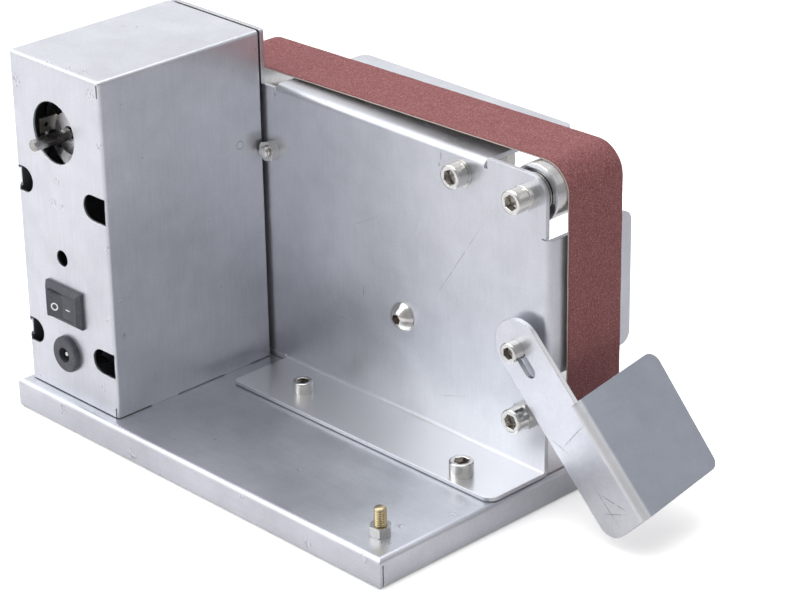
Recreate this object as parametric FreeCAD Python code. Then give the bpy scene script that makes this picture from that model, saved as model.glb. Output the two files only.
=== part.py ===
import FreeCAD, Part
import math
import os
from FreeCAD import Vector

os.makedirs("parts", exist_ok=True)

# Small bench-standing belt sander. Millimetres. While it is modelled, x runs along
# the long side of the base from its front left corner, y runs to the back and z is
# height above the lower edge of the base flanges. On export everything moves so that
# the origin is the bottom centre of the whole machine's box, on the bench.

FIT = 0.02             # hairline gap between parts that sit on each other

# base pan
BASE_L = 220.0
BASE_D = 138.0
BASE_H = 12.0
BASE_T = 1.5
BASE_R = 2.2           # outer bend radius
BASE_UNDER = BASE_H - BASE_T
FOOT_GAP = 0.8         # flange edge above the bench
STUD_IN = 14.7         # feet in from both edges
STUDS = [(x, y) for y in (STUD_IN, BASE_D - STUD_IN) for x in (STUD_IN, BASE_L - STUD_IN)]

# frame plate, with flanges bent from it
PLATE_T = 2.0
PLATE_Y = 90.0         # front face
PLATE_BACK = PLATE_Y + PLATE_T
PLATE_X0 = 3.4
PLATE_X1 = 219.4
TALL_X1 = 59.6         # right edge of the tall left part
TALL_Z = 158.4
TALL_R = 1.5
STEP_Z = 135.2
BEND_R = 3.0           # outer bend radius of the plate and the rest
PLATEN_TOP_X0, PLATEN_TOP_X1 = 68.2, 187.0
PLATEN_TOP_Z = 137.0   # top surface of the top platen
PLATEN_TOP_Y = 140.5   # far edge of the top platen
PLATEN_SIDE_X = 221.2  # outer surface of the right platen
PLATEN_SIDE_Z0, PLATEN_SIDE_Z1 = 56.0, 113.0
PLATEN_SIDE_Y = 136.4  # far edge of the right platen
PLATEN_CORNER_R = 5.0
EAR_Z = 138.2          # top right corner
EAR_R = 9.0
FLANGE_X0 = 69.6       # foot flange, bent to the front
FLANGE_Y0 = 59.6
FLANGE_Z = BASE_H + FIT
FLANGE_M5 = (98.3, 72.8)       # x, y of the flange screws
FLANGE_M6 = (196.3, 67.2)

# motor box
BOX_X0, BOX_X1 = 3.2, 60.3
BOX_Y0, BOX_Y1 = 5.3, 88.2
BOX_Z0, BOX_Z1 = 12.05, 158.6
BOX_T = 1.0
BOX_R = 1.5
BOX_LIFT = 12.4        # lower edge of the walls between the tabs
BOX_TAB_YS = (30.0, 70.0)
BOX_TAB_L = 10.5
BOX_SCREW_IN = 5.5     # from the inside of the side wall
BOX_SCREWS = [(x, y) for y in BOX_TAB_YS
              for x in (BOX_X0 + BOX_T + BOX_SCREW_IN, BOX_X1 - BOX_T - BOX_SCREW_IN)]
BOX_SCREW_R = 1.5
SWITCH_X, SWITCH_Z = 30.2, 54.4
JACK_X, JACK_Z = 29.6, 31.8

# motor; its output end is against the plate, its terminals are at the front
MOTOR_X, MOTOR_Z = 29.7, 127.0
MOTOR_R = 22.0
MOTOR_L = 67.3         # can length
CAN_BACK = PLATE_Y - 0.05
CAN_FRONT = CAN_BACK - MOTOR_L
CAP_Y = CAN_FRONT - 5.2        # front face of the end cap
BOSS_R = 8.75
BEARING_SEAT_R = 8.05
SHAFT_R = 2.5
SHAFT_HOLE_R = 3.2
SHAFT_TIP_Y = -5.6
SHAFT_END_Y = 128.4
MOTOR_SCREW_OFF = 14.5         # mounting screws left and right of the shaft
TERMINAL_OFF = 15.2
COMMUTATOR_R = 7.5
POLES = 5

# belt and the wheels it runs on
BELT_Y0 = 98.6
BELT_W = 30.0
BELT_T = 0.9
BELT_GAP = 0.05
DRIVE_R = 10.0
ROLLER_R = 11.6
IDLER_R = 11.0
TOP_X, TOP_Z = 211.0, 129.5    # top right roller
LOW_X, LOW_Z = 210.9, 37.5     # bottom right roller
IDLER_X, IDLER_Z = 126.6, 78.6
BEARING_R = 9.5

# tension arm
PIVOT_X, PIVOT_Z = 141.0, 56.2
PIN_X, PIN_Z = 108.6, 106.8    # spring pin on the arm
POST_X, POST_Z = 65.1, 107.8   # spring post in the plate
SUPPORT_X, SUPPORT_Z = 174.9, 128.4    # platen support bolt

# work rest
CLAMP_X, CLAMP_Z = 209.8, 66.6
REST_T = 2.0
REST_Y0 = 84.0                 # front face of the arm
REST_HALF = 25.8 / 2.0         # arm half width on the table side
REST_LOW = 11.2                # arm half width on the other side
REST_END = 82.0                # arm end beyond the bolt
REST_CORNER_R = 8.0
TABLE_S0, TABLE_S1 = 30.0, 81.9        # table along the bend
TABLE_DEEP = 49.6
TABLE_SKEW = 5.6               # far edge is shifted towards the bolt
TABLE_TAPER = 2.6              # outer far corner falls short by this
TABLE_CORNER_R = 4.6
REST_ANGLE = 45.0              # arm direction below the horizontal
SLOT_L = 10.0
SLOT_R = 2.75

X, Y, Z = Vector(1, 0, 0), Vector(0, 1, 0), Vector(0, 0, 1)
ORIGIN = Vector(0, 0, 0)


class Thread:
    """Sizes of the screws and nuts of one thread."""

    def __init__(self, shank_r, head_r, head_h, socket, nut_across, nut_h):
        self.shank_r = shank_r
        self.head_r = head_r
        self.head_h = head_h
        self.socket = socket
        self.nut_across = nut_across
        self.nut_h = nut_h


M5 = Thread(2.5, 4.25, 5.0, 4.0, 8.0, 4.0)
M6 = Thread(3.0, 5.0, 6.0, 5.0, 10.0, 5.0)


# ---------------------------------------------------------------- basic solids
def box(x0, x1, y0, y1, z0, z1):
    return Part.makeBox(x1 - x0, y1 - y0, z1 - z0, Vector(x0, y0, z0))


def turned_box(bounds, angle, x, z):
    """box drawn about the y axis, turned about it, then moved to (x, z)"""
    solid = box(*bounds)
    solid.rotate(ORIGIN, Y, angle)
    solid.translate(Vector(x, 0, z))
    return solid


def cyl_y(x, z, radius, y0, y1):
    return Part.makeCylinder(radius, y1 - y0, Vector(x, y0, z), Y)


def cyl_z(x, y, radius, z0, z1):
    return Part.makeCylinder(radius, z1 - z0, Vector(x, y, z0), Z)


def tube_y(x, z, inner_r, outer_r, y0, y1):
    return cyl_y(x, z, outer_r, y0, y1).cut(cyl_y(x, z, inner_r, y0 - 1, y1 + 1))


def tube_z(x, y, inner_r, outer_r, z0, z1):
    return cyl_z(x, y, outer_r, z0, z1).cut(cyl_z(x, y, inner_r, z0 - 1, z1 + 1))


def polygon(points):
    return Part.Face(Part.makePolygon(points + [points[0]]))


# ---------------------------------------------------------------- edge choice
def same(a, b):
    return abs(a - b) < 1e-6


def straight(edge, direction):
    if not isinstance(edge.Curve, (Part.Line, Part.LineSegment)):
        return False
    run = edge.Vertexes[-1].Point - edge.Vertexes[0].Point
    return run.Length > 1e-6 and run.normalize().cross(direction).Length < 1e-6


def round_edges(shape, direction, test, radius):
    """fillet the straight edges along direction whose first point passes the test"""
    edges = [e for e in shape.Edges if straight(e, direction) and test(e.Vertexes[0].Point)]
    return shape.makeFillet(radius, edges)


def edges_at(shape, axis_name, level):
    return [e for e in shape.Edges
            if all(same(getattr(v.Point, axis_name), level) for v in e.Vertexes)]


def circle_edges(shape, y=None, z=None, wider_than=0.0):
    edges = []
    for edge in shape.Edges:
        curve = edge.Curve
        if (isinstance(curve, Part.Circle) and curve.Radius > wider_than
                and (y is None or same(curve.Center.y, y))
                and (z is None or same(curve.Center.z, z))):
            edges.append(edge)
    return edges


# ---------------------------------------------------------------- fasteners
def hexagon(x, y, z, axis, across, length, turn=0.0):
    """hexagonal prism from (x, y, z) along Y or Z"""
    corner_r = across / math.sqrt(3.0)
    points = []
    for i in range(6):
        angle = math.radians(60 * i + turn)
        a, b = corner_r * math.cos(angle), corner_r * math.sin(angle)
        points.append(Vector(x + a, y, z + b) if axis is Y else Vector(x + a, y + b, z))
    return polygon(points).extrude(axis * length)


def hex_nut(x, y, z, axis, across, height, hole_r, turn=0.0):
    """nut with chamfered corners, from (x, y, z) along Y or Z"""
    start = Vector(x, y, z)
    corner_r = across / math.sqrt(3.0)
    limit = Part.makeCylinder(corner_r, height, start, axis)
    limit = limit.makeChamfer((corner_r - across / 2.0) * 0.62, circle_edges(limit))
    nut = hexagon(x, y, z, axis, across, height, turn).common(limit)
    return nut.cut(Part.makeCylinder(hole_r, height + 2, start - axis, axis))


def metric_nut(size, x, y, z, axis, turn, height=None):
    return hex_nut(x, y, z, axis, size.nut_across, height or size.nut_h, size.shank_r, turn)


def cap_screw(size, x, y_face, z, y_end, turn):
    """socket head cap screw along +y; y_face is the outer face of the head"""
    y_seat = y_face + size.head_h
    head = cyl_y(x, z, size.head_r, y_face, y_seat)
    head = head.makeFillet(0.5, circle_edges(head, y=y_face))
    # knurl: shallow grooves round the side of the head
    groove = (-0.25, 0.25, y_face + 1.1, y_seat - 0.5, size.head_r - 0.16, size.head_r + 0.34)
    head = head.cut(Part.makeCompound([turned_box(groove, 15.0 * i, x, z) for i in range(24)]))
    shank = cyl_y(x, z, size.shank_r, y_seat - 0.01, y_end)
    shank = shank.makeChamfer(0.5, circle_edges(shank, y=y_end))
    screw = head.fuse(shank).removeSplitter()
    # hexagonal socket with a conical bottom
    depth = size.head_h * 0.55
    screw = screw.cut(hexagon(x, y_face - 1, z, Y, size.socket, 1 + depth, turn))
    return screw.cut(Part.makeCone(size.socket / math.sqrt(3.0), 0.05, size.socket * 0.3,
                                   Vector(x, y_face + depth, z), Y))


def cap_screw_down(size, x, y, z_seat, z_end, turn):
    """socket head cap screw pointing down, its head resting at z_seat"""
    z_top = z_seat + size.head_h
    screw = cap_screw(size, 0, 0, 0, z_top - z_end, turn)
    screw.rotate(ORIGIN, X, -90)      # +y goes to -z
    screw.translate(Vector(x, y, z_top))
    return screw


def thread_grooves(tube, a, b, root_r, start, count):
    """ring grooves at 0.8 pitch; tube is tube_y or tube_z, (a, b) its centre"""
    return Part.makeCompound([tube(a, b, root_r, 3.2, start + 0.8 * i, start + 0.8 * i + 0.4)
                              for i in range(count)])


def bend_section(corner, along, inward, length=None):
    """face across a round bend in 2 mm sheet

    corner is where the two outer faces would meet, along points along the flange and
    inward along the sheet it is bent from. With a length the flange is included.
    """
    def point(u, w):
        return corner + along * u + inward * w

    centre = point(BEND_R, BEND_R)
    to_corner = ((along + inward) * -1).normalize()
    outer_0, outer_1 = point(0, BEND_R), point(BEND_R, 0)
    inner_1, inner_0 = point(BEND_R, PLATE_T), point(PLATE_T, BEND_R)
    path = [outer_1, inner_1]
    if length:
        path[1:1] = [point(length, 0), point(length, PLATE_T)]
    edges = [Part.Arc(outer_0, centre + to_corner * BEND_R, outer_1).toShape()]
    edges += [Part.makeLine(a, b) for a, b in zip(path, path[1:])]
    edges.append(Part.Arc(inner_1, centre + to_corner * (BEND_R - PLATE_T), inner_0).toShape())
    edges.append(Part.makeLine(inner_0, outer_0))
    return Part.Face(Part.Wire(edges))


NODES = {}             # solids of each exported file, by name


def node(name, *shapes):
    """add solids to a node; identical small parts share one node"""
    solids = NODES.setdefault(name, [])
    for shape in shapes:
        solids.extend(shape.Solids)


# ---------------------------------------------------------------- base pan
CORNER_SLIT_W = 0.55
FRONT_NICKS = ((37.0, 1.1), (92.0, 0.8), (151.0, 1.3))     # x, width

pan = box(0, BASE_L, 0, BASE_D, 0, BASE_H)
pan = pan.makeFillet(BASE_R, edges_at(pan, "z", BASE_H))
hollow = box(BASE_T, BASE_L - BASE_T, BASE_T, BASE_D - BASE_T, -1, BASE_UNDER)
hollow = hollow.makeFillet(BASE_R - BASE_T, edges_at(hollow, "z", BASE_UNDER))
pan = pan.cut(hollow)
# open slits where the folded flanges meet
for x0, x1 in ((-1, BASE_T + 0.05), (BASE_L - BASE_T - 0.05, BASE_L + 1)):
    for y0 in (BASE_T, BASE_D - BASE_T - CORNER_SLIT_W):
        pan = pan.cut(box(x0, x1, y0, y0 + CORNER_SLIT_W, -1, BASE_H - BASE_R - 0.6))
# shallow nicks in the lower edge of the front flange
for nick_x, nick_w in FRONT_NICKS:
    pan = pan.cut(box(nick_x, nick_x + nick_w, -1, BASE_T + 1, -1, 0.45))
pan_holes = [(x, y, 2.75) for x, y in STUDS]
pan_holes += [FLANGE_M5 + (2.6,), FLANGE_M6 + (3.1,)]
pan_holes += [(x, y, 1.6) for x, y in BOX_SCREWS]
for x, y, hole_r in pan_holes:
    pan = pan.cut(cyl_z(x, y, hole_r, -1, BASE_H + 1))
node("base_pan", pan)

# ---------------------------------------------------------------- feet
PAD_R_LOW, PAD_R_HIGH = 7.6, 8.4
STUD_Z0 = 3.0
STUD_Z1 = BASE_H + 11.6


def rubber_pad(x, y):
    """pad inside the pan, hollowed for its stud"""
    pad = Part.makeCone(PAD_R_LOW, PAD_R_HIGH, BASE_UNDER + FOOT_GAP - FIT,
                        Vector(x, y, -FOOT_GAP), Z)
    pad = pad.makeFillet(0.8, circle_edges(pad, z=-FOOT_GAP))
    pad = pad.cut(cyl_z(x, y, M5.shank_r, STUD_Z0, BASE_H + 2))
    return pad.cut(cyl_z(x, y, 3.2, -2, -FOOT_GAP + 1.2))


def foot_stud(x, y):
    """stud with thread grooves on its free end"""
    stud = cyl_z(x, y, M5.shank_r, STUD_Z0, STUD_Z1)
    stud = stud.makeChamfer(0.6, circle_edges(stud, z=STUD_Z1))
    return stud.cut(thread_grooves(tube_z, x, y, 2.22, BASE_H + 4.9, 8))


for x, y in STUDS:
    node("feet_rubber", rubber_pad(x, y))
    node("feet_studs", foot_stud(x, y))
    node("feet_nuts", metric_nut(M5, x, y, BASE_H + FIT, Z, 12.0))

# ---------------------------------------------------------------- frame plate
# x, z corners of the flat sheet, with reliefs beside the bends
PLATE_OUTLINE = [
    (PLATE_X0, FLANGE_Z + 0.2),
    (PLATE_X0, TALL_Z),
    (TALL_X1, TALL_Z),
    (TALL_X1, STEP_Z),
    (PLATEN_TOP_X0 - 1.6, STEP_Z),
    (PLATEN_TOP_X0 - 1.6, PLATEN_TOP_Z - BEND_R - 2.2),
    (PLATEN_TOP_X0, PLATEN_TOP_Z - BEND_R - 2.2),
    (PLATEN_TOP_X0, PLATEN_TOP_Z - BEND_R),
    (PLATEN_TOP_X1, PLATEN_TOP_Z - BEND_R),
    (PLATEN_TOP_X1, PLATEN_TOP_Z - BEND_R - 0.4),
    (PLATEN_TOP_X1 + 1.6, PLATEN_TOP_Z - BEND_R - 0.4),
    (PLATEN_TOP_X1 + 1.6, EAR_Z),
    (PLATE_X1, EAR_Z),
    (PLATE_X1, PLATEN_SIDE_Z1 + 0.5),
    (PLATEN_SIDE_X - BEND_R - 0.9, PLATEN_SIDE_Z1 + 0.5),
    (PLATEN_SIDE_X - BEND_R - 0.9, PLATEN_SIDE_Z1),
    (PLATEN_SIDE_X - BEND_R, PLATEN_SIDE_Z1),
    (PLATEN_SIDE_X - BEND_R, PLATEN_SIDE_Z0),
    (PLATEN_SIDE_X - BEND_R - 1.8, PLATEN_SIDE_Z0),
    (PLATEN_SIDE_X - BEND_R - 1.8, PLATEN_SIDE_Z0 - 1.6),
    (PLATE_X1, PLATEN_SIDE_Z0 - 1.6),
    (PLATE_X1, FLANGE_Z + BEND_R),
    (FLANGE_X0, FLANGE_Z + BEND_R),
    (FLANGE_X0 - 1.6, FLANGE_Z + BEND_R),
    (FLANGE_X0 - 1.6, FLANGE_Z + 0.2),
]
# x, z, radius
PLATE_HOLES = [
    (MOTOR_X, MOTOR_Z, BOSS_R + 0.3),
    (TOP_X, TOP_Z, 3.05),
    (LOW_X, LOW_Z, 3.05),
    (SUPPORT_X, SUPPORT_Z, 3.05),
    (CLAMP_X, CLAMP_Z, 2.55),
    (PIVOT_X, PIVOT_Z, 3.05),
    (POST_X, POST_Z, 2.55),
    (MOTOR_X - MOTOR_SCREW_OFF, MOTOR_Z, 2.1),
    (MOTOR_X + MOTOR_SCREW_OFF, MOTOR_Z, 2.1),
]


def top_platen():
    section = bend_section(Vector(PLATEN_TOP_X0, PLATE_Y, PLATEN_TOP_Z), Y, Z * -1,
                           PLATEN_TOP_Y - PLATE_Y)
    platen = section.extrude(X * (PLATEN_TOP_X1 - PLATEN_TOP_X0))
    return round_edges(platen, Z, lambda p: same(p.y, PLATEN_TOP_Y), PLATEN_CORNER_R - 1.0)


def right_platen():
    section = bend_section(Vector(PLATEN_SIDE_X, PLATE_Y, PLATEN_SIDE_Z0), Y, X * -1,
                           PLATEN_SIDE_Y - PLATE_Y)
    platen = section.extrude(Z * (PLATEN_SIDE_Z1 - PLATEN_SIDE_Z0))
    return round_edges(platen, X, lambda p: same(p.y, PLATEN_SIDE_Y), PLATEN_CORNER_R)


def foot_flange():
    section = bend_section(Vector(FLANGE_X0, PLATE_BACK, FLANGE_Z), Y * -1, Z,
                           PLATE_BACK - FLANGE_Y0)
    flange = section.extrude(X * (PLATE_X1 - FLANGE_X0))
    # right corner, then the smaller left one
    flange = round_edges(flange, Z, lambda p: same(p.y, FLANGE_Y0) and p.x > 100, 5.0)
    return round_edges(flange, Z, lambda p: same(p.y, FLANGE_Y0) and p.x < 100, 2.0)


plate = polygon([Vector(x, PLATE_Y, z) for x, z in PLATE_OUTLINE]).extrude(Y * PLATE_T)
plate = round_edges(plate, Y, lambda p: same(p.x, PLATE_X1) and same(p.z, EAR_Z), EAR_R)
plate = round_edges(plate, Y, lambda p: same(p.z, TALL_Z), TALL_R)
plate = plate.fuse([top_platen(), right_platen(), foot_flange()]).removeSplitter()
for x, z, hole_r in PLATE_HOLES:
    plate = plate.cut(cyl_y(x, z, hole_r, PLATE_Y - 1, PLATE_BACK + 1))
for (x, y), hole_r in ((FLANGE_M5, 2.6), (FLANGE_M6, 3.1)):
    plate = plate.cut(cyl_z(x, y, hole_r, FLANGE_Z - 1, FLANGE_Z + PLATE_T + 1))
node("frame_plate", plate)

# foot flange screws, with nuts under the pan
# side, thread, place, lower end, head turn, nut node, nut turn
for side, size, (x, y), z_end, turn, nut_node, nut_turn in (
        ("left", M5, FLANGE_M5, 3.2, 8, "m5_nuts", 5),
        ("right", M6, FLANGE_M6, 2.0, 20, "m6_nuts", 25)):
    node("flange_screw_" + side, cap_screw_down(size, x, y, FLANGE_Z + PLATE_T, z_end, turn))
    node(nut_node, metric_nut(size, x, y, BASE_UNDER - size.nut_h - FIT, Z, nut_turn))

# ---------------------------------------------------------------- motor box
TAB_HALF = 7.0
# x, z, radius in the front wall
BOX_FRONT_HOLES = [(29.6, 129.4, 13.15), (29.6, 74.6, 3.5), (JACK_X, JACK_Z, 5.8)]
SWITCH_CUT_HALF_W, SWITCH_CUT_HALF_H = 10.4, 7.0
VENT_ROWS = ((97.8, 109.0), (30.0, 40.8))                   # z0, z1
VENTS = ((13.4, BOX_X0 + BOX_T), (46.2, BOX_X1 - 0.7))      # x of round tip, x of open end


def round_box(shape, front_y, top_z, radius):
    """fillet the upright front edges and the front and side edges of the top"""
    edges = []
    for edge in shape.Edges:
        p = edge.Vertexes[0].Point
        if ((straight(edge, Z) and same(p.y, front_y))
                or (straight(edge, Y) and same(p.z, top_z))
                or (straight(edge, X) and same(p.z, top_z) and same(p.y, front_y))):
            edges.append(edge)
    return shape.makeFillet(radius, edges)


def vent(x_tip, x_edge, z0, z1):
    """slot with a round inner end, running to the bend at the side of the face"""
    radius = (z1 - z0) / 2.0
    x_centre = x_tip + (radius if x_edge > x_tip else -radius)
    y0, y1 = BOX_Y0 - 2, BOX_Y0 + BOX_T + 0.6
    slot = box(min(x_centre, x_edge), max(x_centre, x_edge), y0, y1, z0, z1)
    return slot.fuse(cyl_y(x_centre, (z0 + z1) / 2.0, radius, y0, y1))


motor_box = round_box(box(BOX_X0, BOX_X1, BOX_Y0, BOX_Y1, BOX_Z0, BOX_Z1),
                      BOX_Y0, BOX_Z1, BOX_R)
inside = box(BOX_X0 + BOX_T, BOX_X1 - BOX_T, BOX_Y0 + BOX_T, BOX_Y1 + 1,
             BOX_Z0 - 1, BOX_Z1 - BOX_T)
motor_box = motor_box.cut(round_box(inside, BOX_Y0 + BOX_T, BOX_Z1 - BOX_T, BOX_R - BOX_T))
# inward tabs at the bottom of the side walls
for tab_y in BOX_TAB_YS:
    for x0, x1 in ((BOX_X0 + BOX_T - 0.2, BOX_X0 + BOX_T + BOX_TAB_L),
                   (BOX_X1 - BOX_T - BOX_TAB_L, BOX_X1 - BOX_T + 0.2)):
        motor_box = motor_box.fuse(box(x0, x1, tab_y - TAB_HALF, tab_y + TAB_HALF,
                                       BOX_Z0, BOX_Z0 + BOX_T))
motor_box = motor_box.removeSplitter()
for x, y in BOX_SCREWS:
    motor_box = motor_box.cut(cyl_z(x, y, 1.6, BOX_Z0 - 1, BOX_Z0 + 3))
for x, z, hole_r in BOX_FRONT_HOLES:
    motor_box = motor_box.cut(cyl_y(x, z, hole_r, BOX_Y0 - 1, BOX_Y0 + 3))
motor_box = motor_box.cut(box(SWITCH_X - SWITCH_CUT_HALF_W, SWITCH_X + SWITCH_CUT_HALF_W,
                              BOX_Y0 - 1, BOX_Y0 + 3,
                              SWITCH_Z - SWITCH_CUT_HALF_H, SWITCH_Z + SWITCH_CUT_HALF_H))
for z0, z1 in VENT_ROWS:
    for x_tip, x_edge in VENTS:
        motor_box = motor_box.cut(vent(x_tip, x_edge, z0, z1))
# open slits at the right corners of the front face, top and bottom
for z0, z1 in ((BOX_Z1 - 7.0, BOX_Z1 - 1.55), (BOX_Z0 - 1, BOX_Z0 + 4.5)):
    motor_box = motor_box.cut(box(BOX_X1 - 1.55, BOX_X1 - 0.95, BOX_Y0 - 1, BOX_Y0 + 2.0, z0, z1))
# walls stand clear of the pan between the tabs
clearance = box(BOX_X0 - 1, BOX_X1 + 1, BOX_Y0 - 1, BOX_Y1 + 1, BOX_Z0 - 1, BOX_LIFT)
for tab_y in BOX_TAB_YS:
    clearance = clearance.cut(box(BOX_X0 - 2, BOX_X1 + 2, tab_y - TAB_HALF - 0.2,
                                  tab_y + TAB_HALF + 0.2, BOX_Z0 - 2, BOX_Z0 + 2))
motor_box = motor_box.cut(clearance)
node("motor_box", motor_box)

for x, y in BOX_SCREWS:
    head_z = BASE_UNDER - FIT
    shank = cyl_z(x, y, BOX_SCREW_R, head_z, BOX_Z0 + BOX_T + 4.2)
    head = cyl_z(x, y, 2.8, BASE_UNDER - 2.0, head_z)
    node("box_screws", shank.fuse(head).removeSplitter())
    node("box_nuts", hex_nut(x, y, BOX_Z0 + BOX_T + FIT, Z, 5.5, 2.4, BOX_SCREW_R))


# ---------------------------------------------------------------- motor
def motor_cyl(radius, y0, y1):
    return cyl_y(MOTOR_X, MOTOR_Z, radius, y0, y1)


def motor_tube(inner_r, outer_r, y0, y1):
    return tube_y(MOTOR_X, MOTOR_Z, inner_r, outer_r, y0, y1)


def motor_box_cut(shape, angles, *bounds):
    """cut boxes drawn about the shaft axis, turned to each angle"""
    for angle in angles:
        shape = shape.cut(turned_box(bounds, angle, MOTOR_X, MOTOR_Z))
    return shape


def side_box(side, near, far, y0, y1, half_h):
    """box from near to far out from the shaft, on the side -1 (left) or 1 (right)"""
    x0, x1 = sorted((MOTOR_X + side * near, MOTOR_X + side * far))
    return box(x0, x1, y0, y1, MOTOR_Z - half_h, MOTOR_Z + half_h)


SIDES = (-1, 1)

can = motor_cyl(MOTOR_R, CAN_FRONT, CAN_BACK)
can = can.makeFillet(1.6, circle_edges(can, y=CAN_BACK))
can = can.cut(motor_cyl(MOTOR_R - 1.6, CAN_FRONT - 1, CAN_BACK - 2.0))
can = can.fuse(motor_cyl(BOSS_R, CAN_BACK - 1.0, PLATE_BACK + 2.4))
can = can.cut(motor_cyl(BEARING_SEAT_R, CAN_BACK - 7, PLATE_BACK + 1.0))
can = can.cut(motor_cyl(SHAFT_HOLE_R, CAN_BACK - 7, PLATE_BACK + 4))
for side in SIDES:
    can = can.cut(cyl_y(MOTOR_X + side * MOTOR_SCREW_OFF, MOTOR_Z, 1.7,
                        CAN_BACK - 4, CAN_BACK + 1))
# cooling windows near the back of the can
can = motor_box_cut(can, (0, 90, 180, 270), -5, 5, CAN_BACK - 13, CAN_BACK - 6,
                    MOTOR_R - 4, MOTOR_R + 2)
node("motor_can", can.removeSplitter())

cap = motor_cyl(MOTOR_R - 0.6, CAP_Y, CAN_FRONT)
cap = cap.makeFillet(1.8, circle_edges(cap, y=CAP_Y))
cap = cap.fuse(motor_cyl(20.2, CAN_FRONT - 1, CAN_FRONT + 4.0))
cap = cap.fuse(motor_cyl(8.9, CAP_Y - 4.4, CAP_Y + 1))
cap = cap.cut(motor_cyl(BEARING_SEAT_R, CAP_Y - 2.4, CAN_FRONT + 6))
cap = cap.cut(motor_cyl(SHAFT_HOLE_R, CAP_Y - 6, CAN_FRONT + 6))
# ring-shaped hollow round the bearing seat, then openings in the face
hollow = motor_cyl(17.0, CAP_Y + 3.4, CAN_FRONT + 6)
cap = cap.cut(hollow.cut(motor_cyl(10.4, CAP_Y + 3.0, CAN_FRONT + 7)))
cap = motor_box_cut(cap, (28, 152, 208, 332), 11.2, 18.0, CAP_Y - 1, CAN_FRONT + 5, -3.0, 3.0)
for side in SIDES:
    cap = cap.cut(side_box(side, TERMINAL_OFF - 0.4, TERMINAL_OFF + 0.4,
                           CAP_Y - 1, CAN_FRONT + 5, 3.2))
# brush holders
for side in SIDES:
    cap = cap.fuse(side_box(side, 13.1, 14.6, CAP_Y + 2.5, CAN_FRONT + 11.2, 2.6))
node("motor_end_cap", cap.removeSplitter())

for side in SIDES:
    terminal = side_box(side, TERMINAL_OFF - 0.4, TERMINAL_OFF + 0.4,
                        CAP_Y - 7.6, CAP_Y + 3.3, 3.1)
    eye_start = Vector(MOTOR_X + side * TERMINAL_OFF - 2, CAP_Y - 4.4, MOTOR_Z)
    node("motor_terminals", terminal.cut(Part.makeCylinder(1.0, 4, eye_start, X)))

# one magnet below the rotor, one above
magnet_ring = motor_tube(17.2, MOTOR_R - 1.65, CAN_FRONT + 7, CAN_BACK - 14)
for z0, z1 in ((MOTOR_Z - 30, MOTOR_Z - 7.0), (MOTOR_Z + 7.0, MOTOR_Z + 30)):
    node("motor_magnets", magnet_ring.common(
        box(MOTOR_X - 30, MOTOR_X + 30, CAN_FRONT, CAN_BACK, z0, z1)))

for y0, y1 in ((CAN_BACK - 3.9, CAN_BACK + 2.0), (CAP_Y - 2.3, CAP_Y + 3.0)):
    node("motor_bearings", motor_tube(SHAFT_R + 0.05, 8.0, y0, y1))

for side in SIDES:
    node("motor_brushes", side_box(side, COMMUTATOR_R + 0.06, COMMUTATOR_R + 5.6,
                                   CAN_FRONT + 6.2, CAN_FRONT + 11.2, 2.2))

# turning parts of the motor
ROTOR_Y0, ROTOR_Y1 = CAN_FRONT + 20, CAN_BACK - 18
core = motor_cyl(16.6, ROTOR_Y0, ROTOR_Y1)
core = motor_box_cut(core, [360 // POLES * i for i in range(POLES)],
                     -1.3, 1.3, CAN_FRONT, CAN_BACK, 8.6, 18)
core = core.cut(motor_cyl(SHAFT_R, CAN_FRONT, CAN_BACK))
node("motor_rotor_core", core)

for y0, y1 in ((ROTOR_Y0 - 5.5, ROTOR_Y0), (ROTOR_Y1, ROTOR_Y1 + 5)):
    winding = motor_tube(SHAFT_R + 2.2, 14.2, y0, y1)
    node("motor_windings", winding.makeFillet(1.6, circle_edges(winding, wider_than=10)))

commutator = motor_tube(SHAFT_R, COMMUTATOR_R, CAN_FRONT + 5.4, CAN_FRONT + 12.6)
commutator = motor_box_cut(commutator, [360 // POLES * i + 36 for i in range(POLES)],
                           -0.3, 0.3, CAN_FRONT, CAN_BACK,
                           COMMUTATOR_R - 1.2, COMMUTATOR_R + 2)
node("motor_commutator", commutator)

shaft = motor_cyl(SHAFT_R, SHAFT_TIP_Y, SHAFT_END_Y)
shaft = shaft.makeChamfer(0.5, circle_edges(shaft))
# flat on the top of the front end
shaft = shaft.cut(box(MOTOR_X - 5, MOTOR_X + 5, SHAFT_TIP_Y - 1, 10.0,
                      MOTOR_Z + 1.9, MOTOR_Z + 5))
node("motor_shaft", shaft)

# cross-slotted screws from behind the plate into the can
for side in SIDES:
    x = MOTOR_X + side * MOTOR_SCREW_OFF
    screw = cyl_y(x, MOTOR_Z, 1.65, PLATE_BACK - 6.0, PLATE_BACK + FIT + 0.5)
    screw = screw.fuse(cyl_y(x, MOTOR_Z, 3.2, PLATE_BACK + FIT, PLATE_BACK + 2.6))
    for half_w, half_h in ((0.5, 2.2), (2.2, 0.5)):
        screw = screw.cut(box(x - half_w, x + half_w, PLATE_BACK + 1.6, PLATE_BACK + 3,
                              MOTOR_Z - half_h, MOTOR_Z + half_h))
    node("motor_screws", screw.removeSplitter())

# drive wheel on the back end of the shaft, with a grub screw from above
GRUB_Y = BELT_Y0 - 0.4
GRUB_R = 1.5
wheel = motor_cyl(DRIVE_R, BELT_Y0 - 2.4, BELT_Y0 + BELT_W + 1.2)
wheel = wheel.makeChamfer(0.6, circle_edges(wheel))
wheel = wheel.cut(motor_cyl(SHAFT_R, 80, 140))
wheel = wheel.cut(cyl_z(MOTOR_X, GRUB_Y, GRUB_R, MOTOR_Z, MOTOR_Z + 12))
node("drive_wheel", wheel)
grub = cyl_z(MOTOR_X, GRUB_Y, GRUB_R, MOTOR_Z + SHAFT_R, MOTOR_Z + DRIVE_R - 0.6)
grub = grub.cut(hexagon(MOTOR_X, GRUB_Y, MOTOR_Z + DRIVE_R - 2.4, Z, 1.5, 3))
node("drive_grub_screw", grub)

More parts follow.
